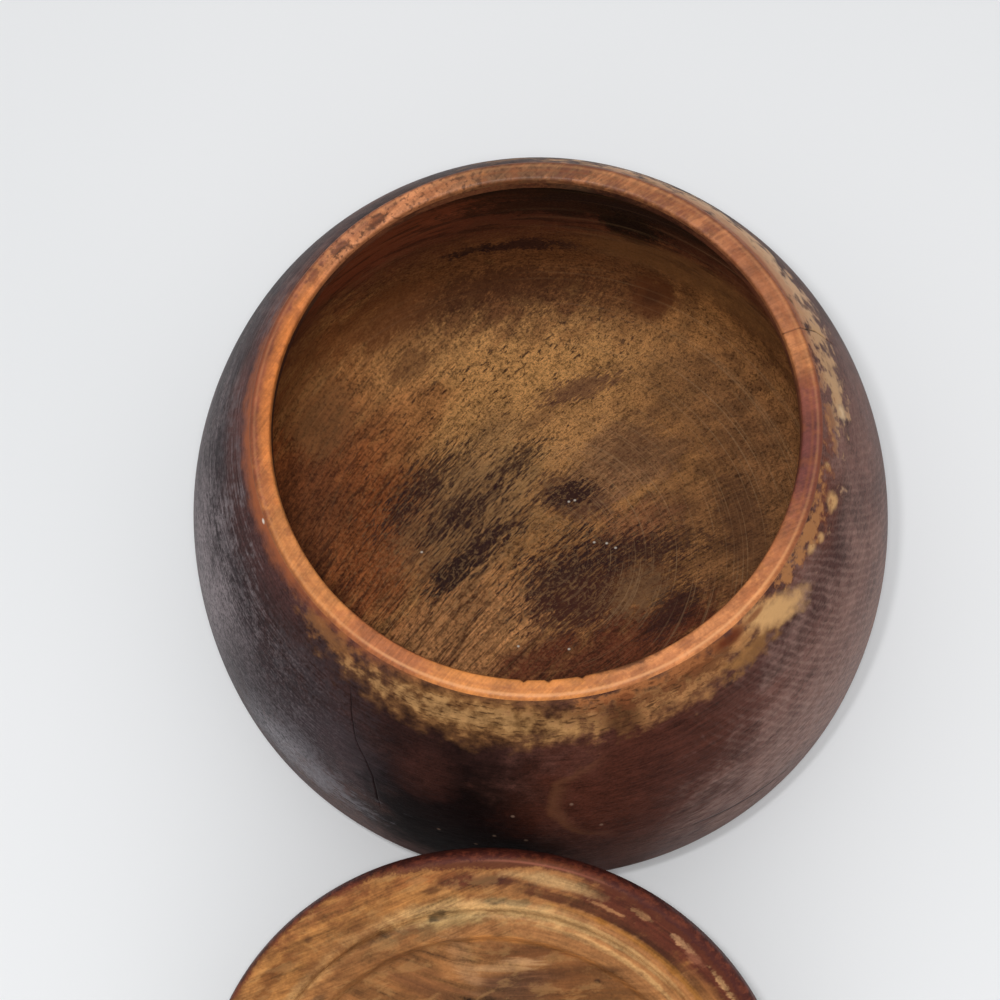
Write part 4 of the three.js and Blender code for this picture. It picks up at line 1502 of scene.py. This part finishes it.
# %% [markdown]
# ## The knob
#
# The knob is gripped whenever the lid is lifted, so its stain is rubbed through on the widest
# part of the head, and its colour is darker round the hollow of the waist. The distance from
# its axis finds the one, and the height in the lid's frame finds the other.

# %% Finish the knob
turned = Wood("knob_wood", RED_BROWN, TOP_GRAIN, lid_origin, lid_turn)
direction, reach, height = turned.around(0)
worn = reach.between(10.5, 13) * (turned.mottle + turned.streaks - 0.5).between(0.35, 0.6)
# Darker round the hollow of the waist.
turned.paint(INK, height.near(LID_TOP + 6, 8) * 0.6)
turned.paint(colour(144, 88, 50), worn * 0.6)
turned.paint(NEAR_BLACK, turned.mottle.between(0.55, 0.7) * 0.5)
turned.shade(turned.figure(1.2, 1.2, 0.6, 0.4))
knob_rings = turned.noise(turned.position(direction, height), (90, 0.5, 1), 2)
knob_height = turned.fibres * 0.05 + knob_rings * 0.03
knob_wood = turned.finish(knob_height, 0.4 + 0.3 * (turned.mottle - 0.5),
                          Specular_IOR_Level=0.25)

# %% [markdown]
# ## Give each piece its finishes
#
# A mesh keeps its materials in slots, and each face says which slot it uses. The profiles
# gave each row a zone, so the slots only have to come in the order of the zones: outside, lip
# and inside for the bowl; underside, edge and top for the lid, whose edge is part of the
# underside's finish.

# %% Fill the material slots
for piece, finishes in ((bowl, (outside_wood, lip_wood, inside_wood)),
                        (lid, (lid_underside, lid_underside, lid_top)), (knob, (knob_wood,))):
    for finish in finishes:
        piece.data.materials.append(finish)
    print(piece.name, "has", len(piece.data.materials), "slots")

# %% [markdown]
# ## The lamps
#
# The picture has soft white light from everywhere, as in a light tent, and two small lamps:
# one at the lens, whose shadows the camera can't see, and one beside it, whose shadows are
# short and lie just beyond the edges. Each lamp is a disk placed in the camera's own frame,
# so it stays beside the lens if the camera is moved in the script. Its power follows from how
# much of full brightness it should give on a surface that faces it: that level, times pi
# squared, times the distance squared.

# %% Set up the lamps
SCENE = bpy.context.scene
SCENE.view_settings.view_transform = "Standard"
LAMPS = (("lamp_at_lens", (0, 0, 0), 0.19), ("lamp_beside_lens", (-0.029, 0.022, 0), 0.19))
LAMP_WIDTH = 0.02


def small_lamp(name, place, level):
    """A disk that looks at the bowl from a place in the camera's frame, in metres."""
    data = bpy.data.lights.new(name, "AREA")
    data.shape = "DISK"
    data.size = LAMP_WIDTH
    lamp = bpy.data.objects.new(name, data)
    lamp.location = SCENE.camera.matrix_world @ Vector(place)
    data.energy = level * math.pi ** 2 * lamp.location.length ** 2
    lamp.rotation_euler = lamp.location.to_track_quat("Z", "Y").to_euler()
    SCENE.collection.objects.link(lamp)
    return lamp.location


for name, place, level in LAMPS:
    print(name, "at", [round(value / MM) for value in small_lamp(name, place, level)], "mm")

# %% [markdown]
# ## The light tent
#
# The tent is the world: a plain white that gets brighter from the horizon up, as the roof of
# a tent does. The camera and mirror-like rays see it at a level of its own, which makes a
# pale background without adding light. A large sheet of paper could do the same, but it would
# need its own lamps.

# %% Set up the light tent
TENT_LOW = 0.42
TENT_HIGH = 0.84
BACKDROP = (0.78, 0.79, 0.8, 1)


def light_tent():
    """A world that gets brighter from the horizon up, and is seen at a level of its own."""
    world = bpy.data.worlds.new("light_tent")
    SCENE.world = world
    world.use_nodes = True
    nodes, links = world.node_tree.nodes, world.node_tree.links
    nodes["Background"].inputs["Color"].default_value = (1, 1, 1, 1)
    towards = nodes.new("ShaderNodeSeparateXYZ")
    links.new(nodes.new("ShaderNodeTexCoord").outputs["Generated"], towards.inputs[0])
    climb = nodes.new("ShaderNodeMapRange")
    climb.inputs["To Min"].default_value = TENT_LOW
    climb.inputs["To Max"].default_value = TENT_HIGH
    links.new(towards.outputs["Z"], climb.inputs["Value"])
    links.new(climb.outputs["Result"], nodes["Background"].inputs["Strength"])
    seen = nodes.new("ShaderNodeBackground")
    seen.inputs["Color"].default_value = BACKDROP
    path = nodes.new("ShaderNodeLightPath")
    total = path.outputs["Is Camera Ray"]
    for kind in ("Is Glossy Ray", "Is Transmission Ray"):
        add = nodes.new("ShaderNodeMath")
        add.use_clamp = True
        links.new(total, add.inputs[0])
        links.new(path.outputs[kind], add.inputs[1])
        total = add.outputs[0]
    choose = nodes.new("ShaderNodeMixShader")
    links.new(total, choose.inputs[0])
    links.new(nodes["Background"].outputs[0], choose.inputs[1])
    links.new(seen.outputs[0], choose.inputs[2])
    links.new(choose.outputs[0], nodes["World Output"].inputs["Surface"])


light_tent()
print("tent from", TENT_LOW, "at the horizon to", TENT_HIGH, "overhead")

# %% [markdown]
# ## The floor
#
# The bowl stands on a sheet of matt white paper. One large square does for it: from above
# its edges stay out of view, and from low down they only show as a soft step to the pale
# backdrop. Very faint clouds, a foot across, keep it from looking computed.

# %% Lay the floor
FLOOR_REACH = 3
PAPER = (0.858, 0.87, 0.885, 1)
PAPER_CLOUDS = (0.84, 0.855, 0.87, 1)
floor_mesh = bpy.data.meshes.new("floor")
floor_signs = ((-1, -1), (1, -1), (1, 1), (-1, 1))
floor_corners = [(x * FLOOR_REACH, y * FLOOR_REACH, 0) for x, y in floor_signs]
floor_mesh.from_pydata(floor_corners, [], [(0, 1, 2, 3)])
floor = bpy.data.objects.new("floor", floor_mesh)
SCENE.collection.objects.link(floor)
tabletop = Finish("tabletop", PAPER)
paper_clouds = tabletop.noise(tabletop.where, (300, 300, 300), 2)
tabletop.paint(PAPER_CLOUDS, paper_clouds.between(0.4, 0.6))
floor_mesh.materials.append(tabletop.finish(tabletop.noise(tabletop.where, (4, 4, 4)) * 0.01, 0.6))

# %% [markdown]
# ## Hand the pieces over
#
# Each turned piece takes the place of its packed one, which stays in the model for contact
# and movement, and rides on the same body, so the knob lifts with the lid.

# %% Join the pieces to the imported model
for piece, body, node, slot in ((bowl, "bowl", "bowl", "bowl_wood"),
                                (lid, "lid", "lid", "lid_wood"),
                                (knob, "lid", "lid_knob", "knob_wood")):
    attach(piece, body)
    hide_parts(node)
